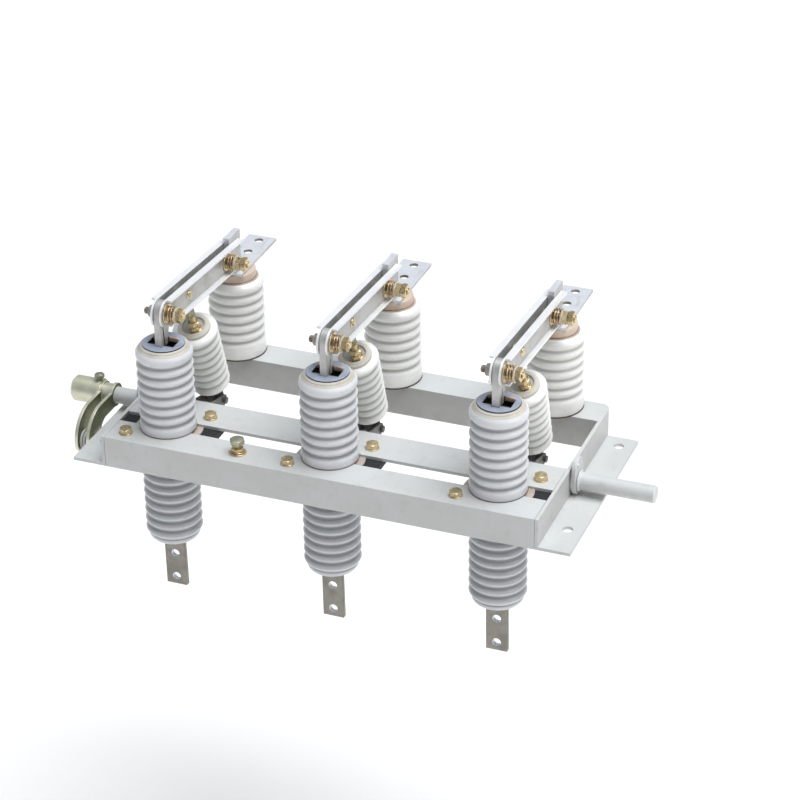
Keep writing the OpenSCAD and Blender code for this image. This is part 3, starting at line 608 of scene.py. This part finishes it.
# Bushing caps and bare copper strips
# A blue-grey fibre disc closes the bushing's bore, set in a cream ring of
# plaster inside the porcelain's rim. Its cross-shaped slot lets the hinge tongue
# through, and two strips of bare copper wedge the tongue at the slot's back.
strip_size = (0.0145, 0.0030, 0.0065)
strip_soften = 0.0004
strip_lean = math.radians(2.0)
ring_drop = 0.0011

fibre = Finish("blue_grey_fibre", Specular_IOR_Level=0.4)
fibre_grain = fibre.noise(320.0, 3.0)
fibre_ground = fibre.mottle(fibre.noise(60.0, 4.0), (0.33, 0.37, 0.445), (0.43, 0.475, 0.56), 0.3, 0.7)
fibre_spots = fibre.band(fibre_grain, 0.6, 0.75, 0.0, 0.5)
fibre.feed(fibre.shader, {
    "Base Color": fibre.blend(fibre_spots, fibre_ground, (0.52, 0.52, 0.54)),
    "Roughness": 0.42 + 0.25 * fibre_grain,
    "Normal": fibre.bump(fibre_grain, 0.3, 0.0005)})

# Near black: painted shade on the cap's rim and on the walls of its slot.
fibre_edge_shade = matt("fibre_rim_and_slot_shade", (0.035, 0.035, 0.045), (0.085, 0.085, 0.10), 150.0, 300.0, 0.6, 0.2)

bare_copper = Finish("bare_copper", Metallic=0.5)
copper_cloud = bare_copper.noise(120.0, 4.0)
bare_copper.feed(bare_copper.shader, {
    "Base Color": bare_copper.mottle(copper_cloud, (0.90, 0.69, 0.58), (0.70, 0.50, 0.40)),
    "Roughness": 0.35 + 0.3 * copper_cloud,
    "Normal": bare_copper.bump(copper_cloud, 0.3, 0.0004)})


def copper_strip(place):
    """A short length of flat bar with softened edges, centred on its place."""
    bm = bmesh.new()
    bmesh.ops.create_cube(bm, size=1.0, matrix=Matrix.Diagonal((*strip_size, 1.0)))
    bmesh.ops.bevel(bm, geom=bm.edges[:], offset=strip_soften, offset_type="OFFSET", segments=2,
                    profile=0.5, affect="EDGES", material=-1)
    bmesh.ops.transform(bm, matrix=place, verts=bm.verts)
    return bm


for side in pole_sides:
    low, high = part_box("bushing_cap_" + side)
    axis = axis_of("bushing_cap_" + side)
    disc = copy_of("bushing_cap_" + side)
    # Only the top keeps the fibre's colour; the rim and the slot's walls take the painted shade.
    for face in disc.faces:
        face.material_index = 0 if face.normal.z > square_on else 1
    fit_piece("fibre_cap_" + side, disc, [fibre, fibre_edge_shade], "frame", ["bushing_cap_" + side],
              edge=0.0006, edge_finish=1)
    ring = washer(0.0298, 0.0342, 0.0024, axis @ up(low.z - ring_drop), 72)
    for vert in ring.verts:
        if (vert.co - axis.translation).xy.length > 0.032:
            vert.co.z -= ring_drop
    fit_piece("plaster_ring_" + side, ring, [plaster], "frame")
    wedges = bmesh.new()
    for away in (-1.0, 1.0):
        strip = axis @ Matrix.Translation((away * 0.0125, 0.0092, high.z + 0.0010))
        join(wedges, copper_strip(strip @ Matrix.Rotation(strip_lean * away, 4, "Y")))
    fit_piece("copper_wedges_" + side, wedges, [bare_copper], "frame")

# Conductors
# A flat copper bar runs down through each bushing to a terminal with two
# holes. On top it is forged to a tongue with a round end that the blades
# hinge on. The copper is hot tinned, which leaves pale clouds and drag marks.
bar_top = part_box("bushing_left")[1].z
hinge_y = -0.0975
hinge_z = 0.230
head_stretch = 1.19
neck_back = 0.017
neck_draw = 0.0120
hole_facet = 0.00003

tin = Finish("hot_tinned_copper", Metallic=0.35)
tin_cloud = tin.noise(48.0, 5.0, 0.62)
tin_drag = tin.noise(85.0, 3.0, 0.5, (1.0, 0.25, 1.0))
tin_pit = tin.band(tin.noise(330.0, 3.0, 0.6), 0.62, 0.72)
tin_ground = tin.mottle(tin_cloud, (0.83, 0.85, 0.885), (0.745, 0.765, 0.80), 0.38, 0.64)
tin_worn = tin.blend(tin.band(tin_drag, 0.58, 0.75, 0.0, 0.55), tin_ground, (0.60, 0.585, 0.555))
tin.feed(tin.shader, {
    "Base Color": tin.blend(tin_pit * 0.5, tin_worn, (0.46, 0.43, 0.39)),
    "Roughness": 0.30 + 0.22 * tin_cloud + 0.12 * tin_pit,
    "Normal": tin.bump(tin_drag + 0.4 * tin_cloud - 0.3 * tin_pit, 0.25, 0.0006)})

# A darker tin for the conductors below the frame, which is also painted shade on the walls of the contacts'
# terminal holes.
darker_tin = Finish("terminal_tin_and_hole_shade", Metallic=0.45, Specular_IOR_Level=0.4)
darker_cloud = darker_tin.noise(38.0, 5.0, 0.62)
darker_grain = darker_tin.noise(210.0, 4.0, 0.6)
darker_ground = darker_tin.mottle(darker_cloud, (0.345, 0.325, 0.285), (0.265, 0.25, 0.22), 0.36, 0.64)
darker_spots = darker_tin.band(darker_grain, 0.55, 0.72, 0.0, 0.5)
darker_tin.feed(darker_tin.shader, {
    "Base Color": darker_tin.blend(darker_spots, darker_ground, (0.22, 0.20, 0.175)),
    "Roughness": 0.42 + 0.25 * darker_grain,
    "Normal": darker_tin.bump(darker_grain + 0.5 * darker_cloud, 0.3, 0.0006)})


def drawn_tin(name, metallic, clouds, lines, light, shaded, streak, roughness):
    """Tin on drawn copper: soft clouds, and fine streaks along the bar."""
    coat = Finish(name, Metallic=metallic)
    cloud_scale, low, high = clouds
    line_scale, line_stretch = lines
    cloud = coat.noise(cloud_scale, 4.0, 0.6)
    fine = coat.noise(line_scale, 3.0, 0.6, (1.0, line_stretch, 1.0))
    ground = coat.mottle(cloud, light, shaded, low, high)
    coat.feed(coat.shader, {
        "Base Color": coat.blend(coat.band(fine, 0.55, 0.75, 0.0, 0.45), ground, streak),
        "Roughness": roughness + 0.2 * cloud + 0.08 * fine,
        "Normal": coat.bump(fine + 0.5 * cloud, 0.2, 0.0004)})
    return coat


dull_tin = drawn_tin("dull_tin", 0.45, (30.0, 0.36, 0.66), (210.0, 0.08), (0.58, 0.575, 0.555),
                     (0.49, 0.48, 0.46), (0.36, 0.345, 0.32), 0.34)

for side in pole_sides:
    copper = copy_of("conductor_" + side)
    for face in copper.faces:
        middle = face.calc_center_median()
        # Below the frame the bar and terminal take the darker tin, and the walls of the terminal holes the
        # brighter tin.
        if middle.z < 0.0:
            in_hole = abs(face.normal.y) < square_on and face.calc_area() < hole_facet
            face.material_index = 3 if in_hole else 1
        # The bar's top in the cap's slot takes the painted bore shade.
        elif face.normal.z > square_on and abs(middle.z - bar_top) < 0.001:
            face.material_index = 2
    for vert in copper.verts:
        if vert.co.z > hinge_z:
            vert.co.z = hinge_z + (vert.co.z - hinge_z) * head_stretch
        elif hinge_y < vert.co.y < hinge_y + neck_back and abs(vert.co.z - bar_top) < 0.001:
            vert.co.y -= neck_draw
    fit_piece("tinned_conductor_" + side, copper, [dull_tin, darker_tin, bore_shade, tin], "frame",
              ["conductor_" + side], edge=0.0006)

# Post insulators and their caps
# Solid porcelain posts with a creamier glaze, each screwed down on the back
# beam by one bolt from below, over a thin sheet of tarred paper whose dark colour
# is a painted shadow at the foot. A disc of beige sprayed metal is cemented on
# top, with a rust line where it meets the cement.
post_radius = 0.0425
post_pitch = 0.0154
post_groove = 0.0036
post_ribs_from = 0.0138
post_foot = [(0.0, 0.0002), (post_radius - 0.0030, 0.0002), (post_radius - 0.0020, 0.0006),
             (post_radius - 0.0007, 0.0018), (post_radius, 0.0036), (post_radius, 0.0212)]
post_top = [(post_radius, -0.0082), (post_radius - 0.0004, -0.0066), (post_radius - 0.0016, -0.0048),
            (post_radius - 0.0045, -0.0022), (post_radius - 0.0072, -0.0006), (0.0335, 0.0), (0.0, 0.0)]
cap_foot = [(0.0, 0.0), (0.0302, 0.0), (0.0304, 0.0012), (0.0309, 0.0016), (0.031, 0.0024)]
cap_rim = [(0.031, -0.0016), (0.0306, -0.0005), (0.0298, 0.0), (0.0, 0.0)]
sheet_edge = [(0.0423, -0.0004), (0.0427, 0.0003), (0.0421, 0.0012)]
rust_edge = [(0.0313, -0.0004), (0.0316, 0.0004), (0.0311, 0.0015)]
cement_edge = [(0.0345, -0.0006), (0.0342, 0.0002), (0.0325, 0.0005)]
post_washer = 0.002
steel_thickness = 0.005

post_glaze = glaze("post_glaze", (0.90, 0.895, 0.865), (0.78, 0.775, 0.74), (0.50, 0.49, 0.45),
                   (0.36, 0.28, 0.20), (0.87, 0.865, 0.83))
cap_coat = enamel("beige_cap_coat", (0.68, 0.55, 0.44), (0.61, 0.49, 0.39), (0.52, 0.42, 0.34))
# Its dark colour is a painted shadow at the post's foot.
tarred_sheet_shadow = matt("tarred_sheet_shadow", (0.06, 0.045, 0.03), (0.13, 0.095, 0.06), 120.0, 260.0, 0.6)
rust_line = matt("rust_line", (0.23, 0.13, 0.08), (0.40, 0.26, 0.17), 130.0, 260.0, 0.6, detail=5.0)

for side in pole_sides:
    low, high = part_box("post_insulator_" + side)
    cap_low, cap_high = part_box("post_cap_" + side)
    axis = axis_of("post_insulator_" + side)
    waves = rib_waves(low.z + post_ribs_from, post_pitch, 7, post_radius, post_radius, post_groove)
    ribs = [(r, z) for r, z in waves if low.z + 0.0217 < z < high.z - 0.0093]
    post = turned(raised(post_foot, low.z) + ribs + raised(post_top, high.z), 80, axis)
    # The plain shoulder and foot get a middling depth, which darkens their glaze as painted shade.
    mark_grooves(post, axis.translation, lambda point: post_radius, post_groove,
                 lambda point: low.z + 0.0040 < point.z < high.z - 0.0075, 0.5)
    fit_piece("porcelain_post_" + side, post, [post_glaze], "frame",
              ["post_insulator_" + side])
    sheet = thin_disc(sheet_edge, beam_top, axis)
    fit_piece("tarred_sheet_" + side, sheet, [tarred_sheet_shadow], "frame")
    cap = turned(raised(cap_foot, cap_low.z) + raised(cap_rim, cap_high.z), 72, axis)
    fit_piece("metal_cap_" + side, cap, [cap_coat], "frame", ["post_cap_" + side])
    fit_piece("rust_line_" + side, thin_disc(rust_edge, cap_low.z, axis), [rust_line], "frame")
    fit_piece("cement_rim_" + side, thin_disc(cement_edge, high.z, axis), [cement], "frame")
    seat = axis @ up(beam_top - steel_thickness) @ upside_down
    post_bolt = washer(bolt_hole, 0.0125, post_washer, seat)
    join(post_bolt, hexagon(0.019, 0.007, seat @ up(post_washer), both=False))
    fit_piece("post_bolt_" + side, post_bolt, [zinc], "frame")

# Fixed contacts
# A tinned copper plate lies on each post's cap and carries the upright jaw
# that the blades close on. Its back end overhangs the frame and has the two
# terminal holes. The faces that look along X, its sides and the jaw's faces,
# take the duller tin.
terminal_from_y = 0.155
for side in pole_sides:
    contact = copy_of("fixed_contact_" + side)
    for face in contact.faces:
        in_hole = abs(face.normal.z) < 0.1 and face.calc_area() < hole_facet
        # The terminal holes' walls take the darker tin as painted shade.
        if in_hole and face.calc_center_median().y > terminal_from_y:
            face.material_index = 1
        elif abs(face.normal.x) > square_on:
            face.material_index = 2
    fit_piece("tinned_contact_" + side, contact, [tin, darker_tin, dull_tin], "frame",
              ["fixed_contact_" + side], edge=0.0007)

# Blades
# Two pressed copper channels lie back to back in each pole, one on each side
# of the tongue and of the jaw, with their flanges outwards. They are tinned, and
# fine drawing lines run along them. The flanges carry a near white tin as painted
# light, the webs a duller tin.
web_reach = 0.009
# A near white copy of the tin: painted light on the blades' flanges.
flange_painted_light_tin = drawn_tin("flange_painted_light_tin", 0.2, (36.0, 0.38, 0.64), (240.0, 0.06), (0.93, 0.93, 0.92),
                       (0.87, 0.87, 0.865), (0.66, 0.645, 0.62), 0.26)
for side in pole_sides:
    channels = copy_of("blades_" + side)
    middle_x = axis_of("blades_" + side).translation.x
    for face in channels.faces:
        inward = abs(face.calc_center_median().x - middle_x) < web_reach
        face.material_index = 1 if inward and abs(face.normal.x) > square_on else 0
    fit_piece("channel_blades_" + side, channels, [flange_painted_light_tin, dull_tin], "blade_" + side,
              ["blades_" + side], edge=0.0006, edge_finish=0)

# Hinge bolts, contact bolts and pull pins
# Yellow-passivated bolts cross both blades at the hinge and at the jaw, with a
# small nut on the left, and a wide washer, the spring, two washers and a thick
# nut on the right, locked by another at the jaw. The pull pin's heads are riveted.
blade_fall = math.radians(-4.0)
contact_bolt_at = 0.203003
pull_pin_at = 0.072
web_face = 0.0083
spring_from = 0.0103
spring_length = 0.0117
spring_to = spring_from + spring_length
right_nut_at = 0.0244
right_thread_at = 0.0243
left_nut_at = -0.0185
left_thread_at = -0.0183
lock_nut_step = 0.00815
cross_thread = 0.005
cross_flats = 0.0185
rivet_side = [(0.0069, 0.0085), (0.0068, 0.0092), (0.0058, 0.0106), (0.0030, 0.0117)]
pull_pin = [(0.0, -0.0119), *((radius, -z) for radius, z in reversed(rivet_side)), (0.0048, -0.0084),
            (0.0048, 0.0084), *rivet_side, (0.0, 0.0119)]


def plated(name, first, second, scale, roughness, swing, low=0.35, high=0.65, **fixed):
    """Steel with a thin film in two tones, rougher where the second tone lies."""
    coat = Finish(name, **fixed)
    film = coat.noise(scale, 4.0)
    coat.feed(coat.shader, {
        "Base Color": coat.mottle(film, first, second, low, high),
        "Roughness": roughness + swing * film})
    return coat


cream_washer = enamel("cream_washer", (0.70, 0.66, 0.54), (0.62, 0.56, 0.43), (0.45, 0.39, 0.28))
# Dark thread on the left tails, and painted shade on the shank inside the springs.
shank_shade_and_dark_tails = plated("spring_core_shade_and_dark_tails", (0.20, 0.165, 0.13), (0.36, 0.31, 0.25), 240.0, 0.4, 0.3, Metallic=0.7)
grey_zinc = plated("grey_zinc", (0.58, 0.56, 0.50), (0.42, 0.40, 0.35), 90.0, 0.32, 0.2, Metallic=0.8)


def hinge_of(side):
    """Place of the hinge, with Y along the closed blades."""
    hinge = Matrix.Translation((axis_of("bushing_" + side).translation.x, hinge_y, hinge_z))
    return hinge @ Matrix.Rotation(blade_fall, 4, "X")


def on_blade(side, distance, offset):
    """Place on the closed blades: `distance` along them, `offset` to the right, Z along the bolt."""
    return hinge_of(side) @ Matrix.Translation((offset, distance, 0.0)) @ along_x


for side in pole_sides:
    bolts = bmesh.new()
    for distance, spin, lock in ((0.0, 0.2, 0.0), (contact_bolt_at, 0.75, lock_nut_step)):
        right_nut = on_blade(side, distance, right_nut_at)
        left_nut = on_blade(side, distance, left_nut_at)
        wide_washer = on_blade(side, distance, web_face + 0.0002)
        join(bolts, washer(bolt_hole, 0.015, washer_thickness, wide_washer), 0)
        join(bolts, washer(bolt_hole, 0.0125, 0.0010, on_blade(side, distance, spring_to)), 0)
        join(bolts, washer(bolt_hole, 0.0118, 0.0013, on_blade(side, distance, spring_to + 0.0011)), 1)
        join(bolts, hexagon(cross_flats, nut_height, right_nut @ twist(spin)), 0)
        if lock > 0.0:
            join(bolts, hexagon(cross_flats, nut_height, right_nut @ up(lock) @ twist(spin + 0.35)), 0)
        join(bolts, threaded(cross_thread, 0.0, 0.0109 + lock, on_blade(side, distance, right_thread_at)), 0)
        # The shank between the webs and inside the spring is dark as painted shade, which shows in the gaps
        # between the turns.
        join(bolts, pin(0.0049, 0.0, right_thread_at + web_face, on_blade(side, distance, -web_face), 24), 2)
        left_washer = on_blade(side, distance, -web_face - 0.002)
        join(bolts, washer(bolt_hole, 0.012, washer_thickness, left_washer), 1)
        join(bolts, hexagon(0.0150, 0.0080, left_nut @ twist(spin)), 3)
        join(bolts, threaded(cross_thread, 0.0, 0.0070,
                             on_blade(side, distance, left_thread_at) @ upside_down), 2)
    join(bolts, washer(bolt_hole, 0.008, 0.010, on_blade(side, contact_bolt_at, -0.005)), 2)
    join(bolts, turned(pull_pin, 28, on_blade(side, pull_pin_at, 0.0)), 0)
    fit_piece("cross_bolts_" + side, bolts, [zinc, cream_washer, shank_shade_and_dark_tails, grey_zinc], "blade_" + side,
              ["blade_bolts_" + side])

# Pressure springs
# Turns of round spring steel press the blades on the tongue and on the jaw.
# The wire is yellow-passivated over a brown temper, with dark gaps between turns, where the bolt's shank
# behind is painted dark as shade.
spring_radius = 0.0109
wire_radius = 0.0012
wire_sides = 12
spring_turns = 2.25
spring_steps = 112
spring_steel = plated("browned_spring_steel", (0.36, 0.22, 0.12), (0.68, 0.52, 0.31), 200.0, 0.22, 0.22,
                      0.38, 0.66, Metallic=0.85, Specular_IOR_Level=0.6)
for side in pole_sides:
    coils = bmesh.new()
    for distance in (0.0, contact_bolt_at):
        coil = bmesh.new()
        start = Matrix.Translation((spring_radius, 0.0, wire_radius)) @ Matrix.Rotation(math.pi / 2, 4, "X")
        ring = bmesh.ops.create_circle(coil, segments=wire_sides, radius=wire_radius, matrix=start)["verts"]
        rim = list({line for vert in ring for line in vert.link_edges})
        rise = (spring_length - 2 * wire_radius) / spring_steps
        bmesh.ops.spin(coil, geom=ring + rim, cent=(0.0, 0.0, 0.0), axis=(0.0, 0.0, 1.0),
                       dvec=(0.0, 0.0, rise), angle=math.tau * spring_turns, steps=spring_steps)
        bmesh.ops.holes_fill(coil, edges=[line for line in coil.edges if line.is_boundary], sides=wire_sides)
        bmesh.ops.recalc_face_normals(coil, faces=coil.faces)
        bmesh.ops.transform(coil, matrix=on_blade(side, distance, spring_from), verts=coil.verts)
        join(coils, coil)
    fit_piece("coil_springs_" + side, coils, [spring_steel], "blade_" + side,
              ["pressure_springs_" + side])

# Pull insulators
# A ribbed porcelain rod, slightly slimmer at its foot, carries the pull of the
# shaft to the blades. Its glaze is the posts' cream white, and its top ends in
# a smooth rounded shoulder round the cap.
pull_lean = math.radians(180.0 + 21.7)
pull_top_radius = 0.034
pull_low_radius = 0.030
pull_groove = 0.0030
pull_ribs_from = 0.0755
pull_ribs_to = 0.1955
pull_rib_pitch = 0.0150
ribbed_from = pull_ribs_from + 0.0046
ribbed_to = pull_ribs_from + 0.1110
pull_head = [(0.0, -0.0012), (0.0268, -0.0012), (0.0297, -0.0003), (0.0322, 0.0011), (0.0336, 0.0029)]
pull_foot = [(pull_low_radius, -0.0055), (0.0295, -0.0036), (0.0280, -0.0014), (0.0257, -0.0002),
             (0.0230, 0.0003), (0.0, 0.0003)]


def on_pull(side):
    """Place of the closed pull insulator: Z runs down it from the pull pin."""
    pull_pin_place = hinge_of(side) @ Matrix.Translation((0.0, pull_pin_at, 0.0))
    return pull_pin_place @ Matrix.Rotation(-blade_fall, 4, "X") @ Matrix.Rotation(pull_lean, 4, "X")


def pull_crest(point):
    share = (point.z - pull_ribs_from) / (pull_ribs_to - pull_ribs_from)
    return pull_top_radius + (pull_low_radius - pull_top_radius) * min(max(share, 0.0), 1.0)


for side in pole_sides:
    waves = rib_waves(pull_ribs_from - 0.0022, pull_rib_pitch, 8, pull_top_radius, pull_low_radius,
                      pull_groove)
    ribs = [(r, z) for r, z in waves if ribbed_from < z < ribbed_to]
    rod = turned(raised(pull_head, pull_ribs_from) + ribs + raised(pull_foot, pull_ribs_to), 64)
    # The plain head and foot get a middling depth, which darkens their glaze as painted shade.
    mark_grooves(rod, Vector(), pull_crest, pull_groove,
                 lambda point: ribbed_from < point.z < ribbed_to, 0.5)
    bmesh.ops.transform(rod, matrix=on_pull(side), verts=rod.verts)
    fit_piece("porcelain_rod_" + side, rod, [post_glaze], "pull_rod_" + side,
              ["pull_insulator_" + side])

# Pull insulator fittings
# The cap is a cream ring round a shallow recess. In it stands the forged lug
# that goes up between the blades, and a stud with two big nuts clamps its foot.
# The foot cap of black cast iron ends in the eye that turns on the crank pin.
lug_slim = 0.56
lug_eye_end = 0.004
foot_from = 0.1950
cap_top = pull_ribs_from - 0.0078
cap_profile = [(0.0, 0.0032), (0.0152, 0.0032), (0.0160, 0.0026), (0.0166, 0.0004), (0.0176, 0.0),
               (0.0200, 0.0001), (0.0206, 0.0010), (0.0216, 0.0018), (0.0236, 0.0028), (0.0242, 0.0042),
               (0.0242, 0.0087), (0.0, 0.0087)]
recess_radius = 0.0163
stud_hole = 0.0062
stud_x = 0.0052
stud_y = 0.0050

lug_zinc = Finish("greenish_lug_zinc", Metallic=0.7)
lug_cloud = lug_zinc.noise(55.0, 4.0)
lug_zinc.feed(lug_zinc.shader, {
    "Base Color": lug_zinc.mottle(lug_cloud, (0.25, 0.27, 0.18), (0.42, 0.42, 0.31)),
    "Roughness": 0.36 + 0.2 * lug_zinc.noise(200.0),
    "Normal": lug_zinc.bump(lug_cloud, 0.3, 0.0006)})
recess_grey = enamel("recess_cement", (0.53, 0.51, 0.475), (0.45, 0.43, 0.395), (0.34, 0.32, 0.27))

for side in pole_sides:
    place = on_pull(side)
    down = place.to_3x3() @ upright
    lug = cut_off(copy_of("pull_fittings_" + side), place @ Vector((0.0, 0.0, cap_top + 0.0015)), down,
                  clear_outer=True)
    for vert in lug.verts:
        inner = place.inverted() @ vert.co
        if inner.z > lug_eye_end:
            vert.co = place @ Vector((inner.x, inner.y * lug_slim, inner.z))
    fit_piece("rod_lug_" + side, lug, [lug_zinc], "pull_rod_" + side,
              ["pull_fittings_" + side], edge=0.0008)
    foot_cap = cut_off(copy_of("pull_fittings_" + side), place @ Vector((0.0, 0.0, foot_from)), down,
                       clear_inner=True)
    fit_piece("rod_foot_" + side, foot_cap, [cast_iron], "pull_rod_" + side,
              ["pull_fittings_" + side], edge=0.0010)
    rod_cap = turned(cap_profile, 64, place @ up(cap_top))
    for face in rod_cap.faces:
        middle = place.inverted() @ face.calc_center_median()
        in_recess = middle.z > cap_top + 0.0013 and middle.xy.length < recess_radius
        face.material_index = 1 if in_recess else 0
    fit_piece("rod_cap_" + side, rod_cap, [plaster, recess_grey], "pull_rod_" + side)
    stud = place @ Matrix.Translation((stud_x, stud_y, cap_top + 0.0032)) @ upside_down
    nuts = washer(stud_hole, 0.0096, 0.0020, stud)
    join(nuts, hexagon(0.0155, 0.0072, stud @ up(0.0023)))
    join(nuts, washer(stud_hole, 0.0086, 0.0014, stud @ up(0.0098)))
    join(nuts, hexagon(0.0145, 0.0066, stud @ up(0.0115) @ twist(0.4)))
    join(nuts, washer(stud_hole, 0.0074, 0.0013, stud @ up(0.0184)))
    join(nuts, threaded(0.0046, -0.0004, 0.0290, stud))
    fit_piece("rod_studs_" + side, nuts, [zinc], "pull_rod_" + side)

# Shaft and cranks
# A round steel shaft crosses the whole frame and is sprayed with it. At each
# pole a pair of thick crank plates is welded on, with the pin that lifts the
# pull insulator's eye. A collar keeps the shaft from sliding to the right.
dark_steel = Finish("oiled_dark_steel", Metallic=0.6)
dark_cloud = dark_steel.noise(45.0, 4.0)
dark_steel.feed(dark_steel.shader, {
    "Base Color": dark_steel.mottle(dark_cloud, (0.10, 0.10, 0.095), (0.19, 0.18, 0.16)),
    "Roughness": 0.38 + 0.25 * dark_steel.noise(180.0, 4.0),
    "Normal": dark_steel.bump(dark_cloud, 0.25, 0.0006)})
fit_piece("round_shaft", copy_of("main_shaft"), [frame_enamel, frame_edge_highlight], "shaft",
          ["main_shaft"], edge=0.0009, edge_finish=1)
fit_piece("crank_plates", copy_of("pole_cranks"), [dark_steel], "shaft", ["pole_cranks"],
          edge=0.0007)

# Drive crank
# Two sickle-shaped plates stand side by side on the shaft's left end, on a
# thick sleeve with a set bolt. They are zinc plated and passivated to a dark
# olive, with bright cut edges. Grey washers fill the space round the pin.
shaft_y = -0.006
shaft_z = 0.025
pin_y = shaft_y - 0.077
pin_z = shaft_z - 0.036
set_bolt_back = 0.0035
set_bolt_rise = 0.0230
washer_step = 0.0044
plates_at = 0.046


def passivated(name, metallic, cloud_scale, film_scale, film_detail, light, dark, stain, share, roughness,
               swing, depth):
    """Zinc plating with a passivation film: cloudy, and stained where the film is thick."""
    coat = Finish(name, Metallic=metallic)
    ground = coat.mottle(coat.noise(cloud_scale, 4.0), light, dark)
    film = coat.noise(film_scale, film_detail)
    coat.feed(coat.shader, {
        "Base Color": coat.blend(coat.band(film, 0.55, 0.75, 0.0, share), ground, stain),
        "Roughness": roughness + swing * film,
        "Normal": coat.bump(film, 0.2, depth)})
    return coat


olive = passivated("olive_passivation", 0.75, 26.0, 120.0, 4.0, (0.115, 0.13, 0.06), (0.205, 0.21, 0.105),
                   (0.36, 0.33, 0.18), 0.6, 0.30, 0.25, 0.0005)
pale_gold = passivated("pale_gold_zinc", 0.6, 55.0, 210.0, 3.0, (0.74, 0.73, 0.59), (0.63, 0.64, 0.48),
                       (0.66, 0.52, 0.34), 0.5, 0.28, 0.22, 0.0004)
washer_grey = enamel("grey_washer", (0.50, 0.50, 0.48), (0.43, 0.43, 0.41), (0.36, 0.34, 0.30))

drive = copy_of("drive_crank")
drive_low, drive_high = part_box("drive_crank")
outer_face = drive_low.x + plates_at
for face in drive.faces:
    flat = abs(face.normal.x) > square_on
    face.material_index = 0 if flat and face.calc_center_median().x > outer_face - 0.0005 else 1
fit_piece("drive_plates", drive, [olive, pale_gold], "shaft", ["drive_crank"], edge=0.0008,
          edge_finish=1)


def on_drive(x, y, z):
    """Place on the drive crank with Z along the shaft, to the right."""
    return Matrix.Translation((x, y, z)) @ along_x


drive_trim = bmesh.new()
set_bolt = Matrix.Translation((outer_face - set_bolt_back, shaft_y, shaft_z + set_bolt_rise))
join(drive_trim, hexagon(0.013, 0.0060, set_bolt @ up(0.0012)), 3)
join(drive_trim, threaded(0.0045, -0.0075, 0.0082, set_bolt), 3)
join(drive_trim, washer(0.0128, 0.0212, 0.0030, on_drive(outer_face - 0.0032, shaft_y, shaft_z)), 1)
for k in range(3):
    stacked = on_drive(outer_face + 0.0055 + washer_step * k, pin_y, pin_z)
    join(drive_trim, washer(0.0062, 0.0150 - 0.001 * k, 0.0036, stacked), 2)
join(drive_trim, hexagon(0.017, 0.0045, on_drive(outer_face - 0.0047, pin_y, pin_z)), 0)
join(drive_trim, hexagon(0.017, 0.0046, on_drive(drive_high.x + 0.0001, pin_y, pin_z)), 0)
fit_piece("drive_trim", drive_trim, [zinc, pale_gold, washer_grey, lug_zinc], "shaft")

# Earth bolt
# The taller bolt on the front beam takes the earthing lead: two washers and a
# nut on the beam, a short bare neck, the grey hexagon head of the stud on top,
# and a nut under the beam.
earth_x = 0.2255
earth_y = -0.1340
earth = Matrix.Translation((earth_x, earth_y, beam_top))
earth_bolt = bmesh.new()
join(earth_bolt, washer(bolt_hole, 0.0125, 0.0020, earth), 0)
join(earth_bolt, washer(bolt_hole, washer_radius, washer_thickness, earth @ up(0.0021)), 0)
join(earth_bolt, hexagon(0.0160, 0.0050, earth @ up(0.0040) @ twist(0.2)), 0)
join(earth_bolt, threaded(bolt_shank, 0.0080, 0.0160, earth), 0)
join(earth_bolt, hexagon(0.0190, 0.0074, earth @ up(0.0150) @ twist(0.6)), 1)
join(earth_bolt, hexagon(bolt_flats, head_height, earth @ up(-0.0120), both=False), 0)
fit_piece("earth_bolt", earth_bolt, [zinc, lug_zinc], "frame")
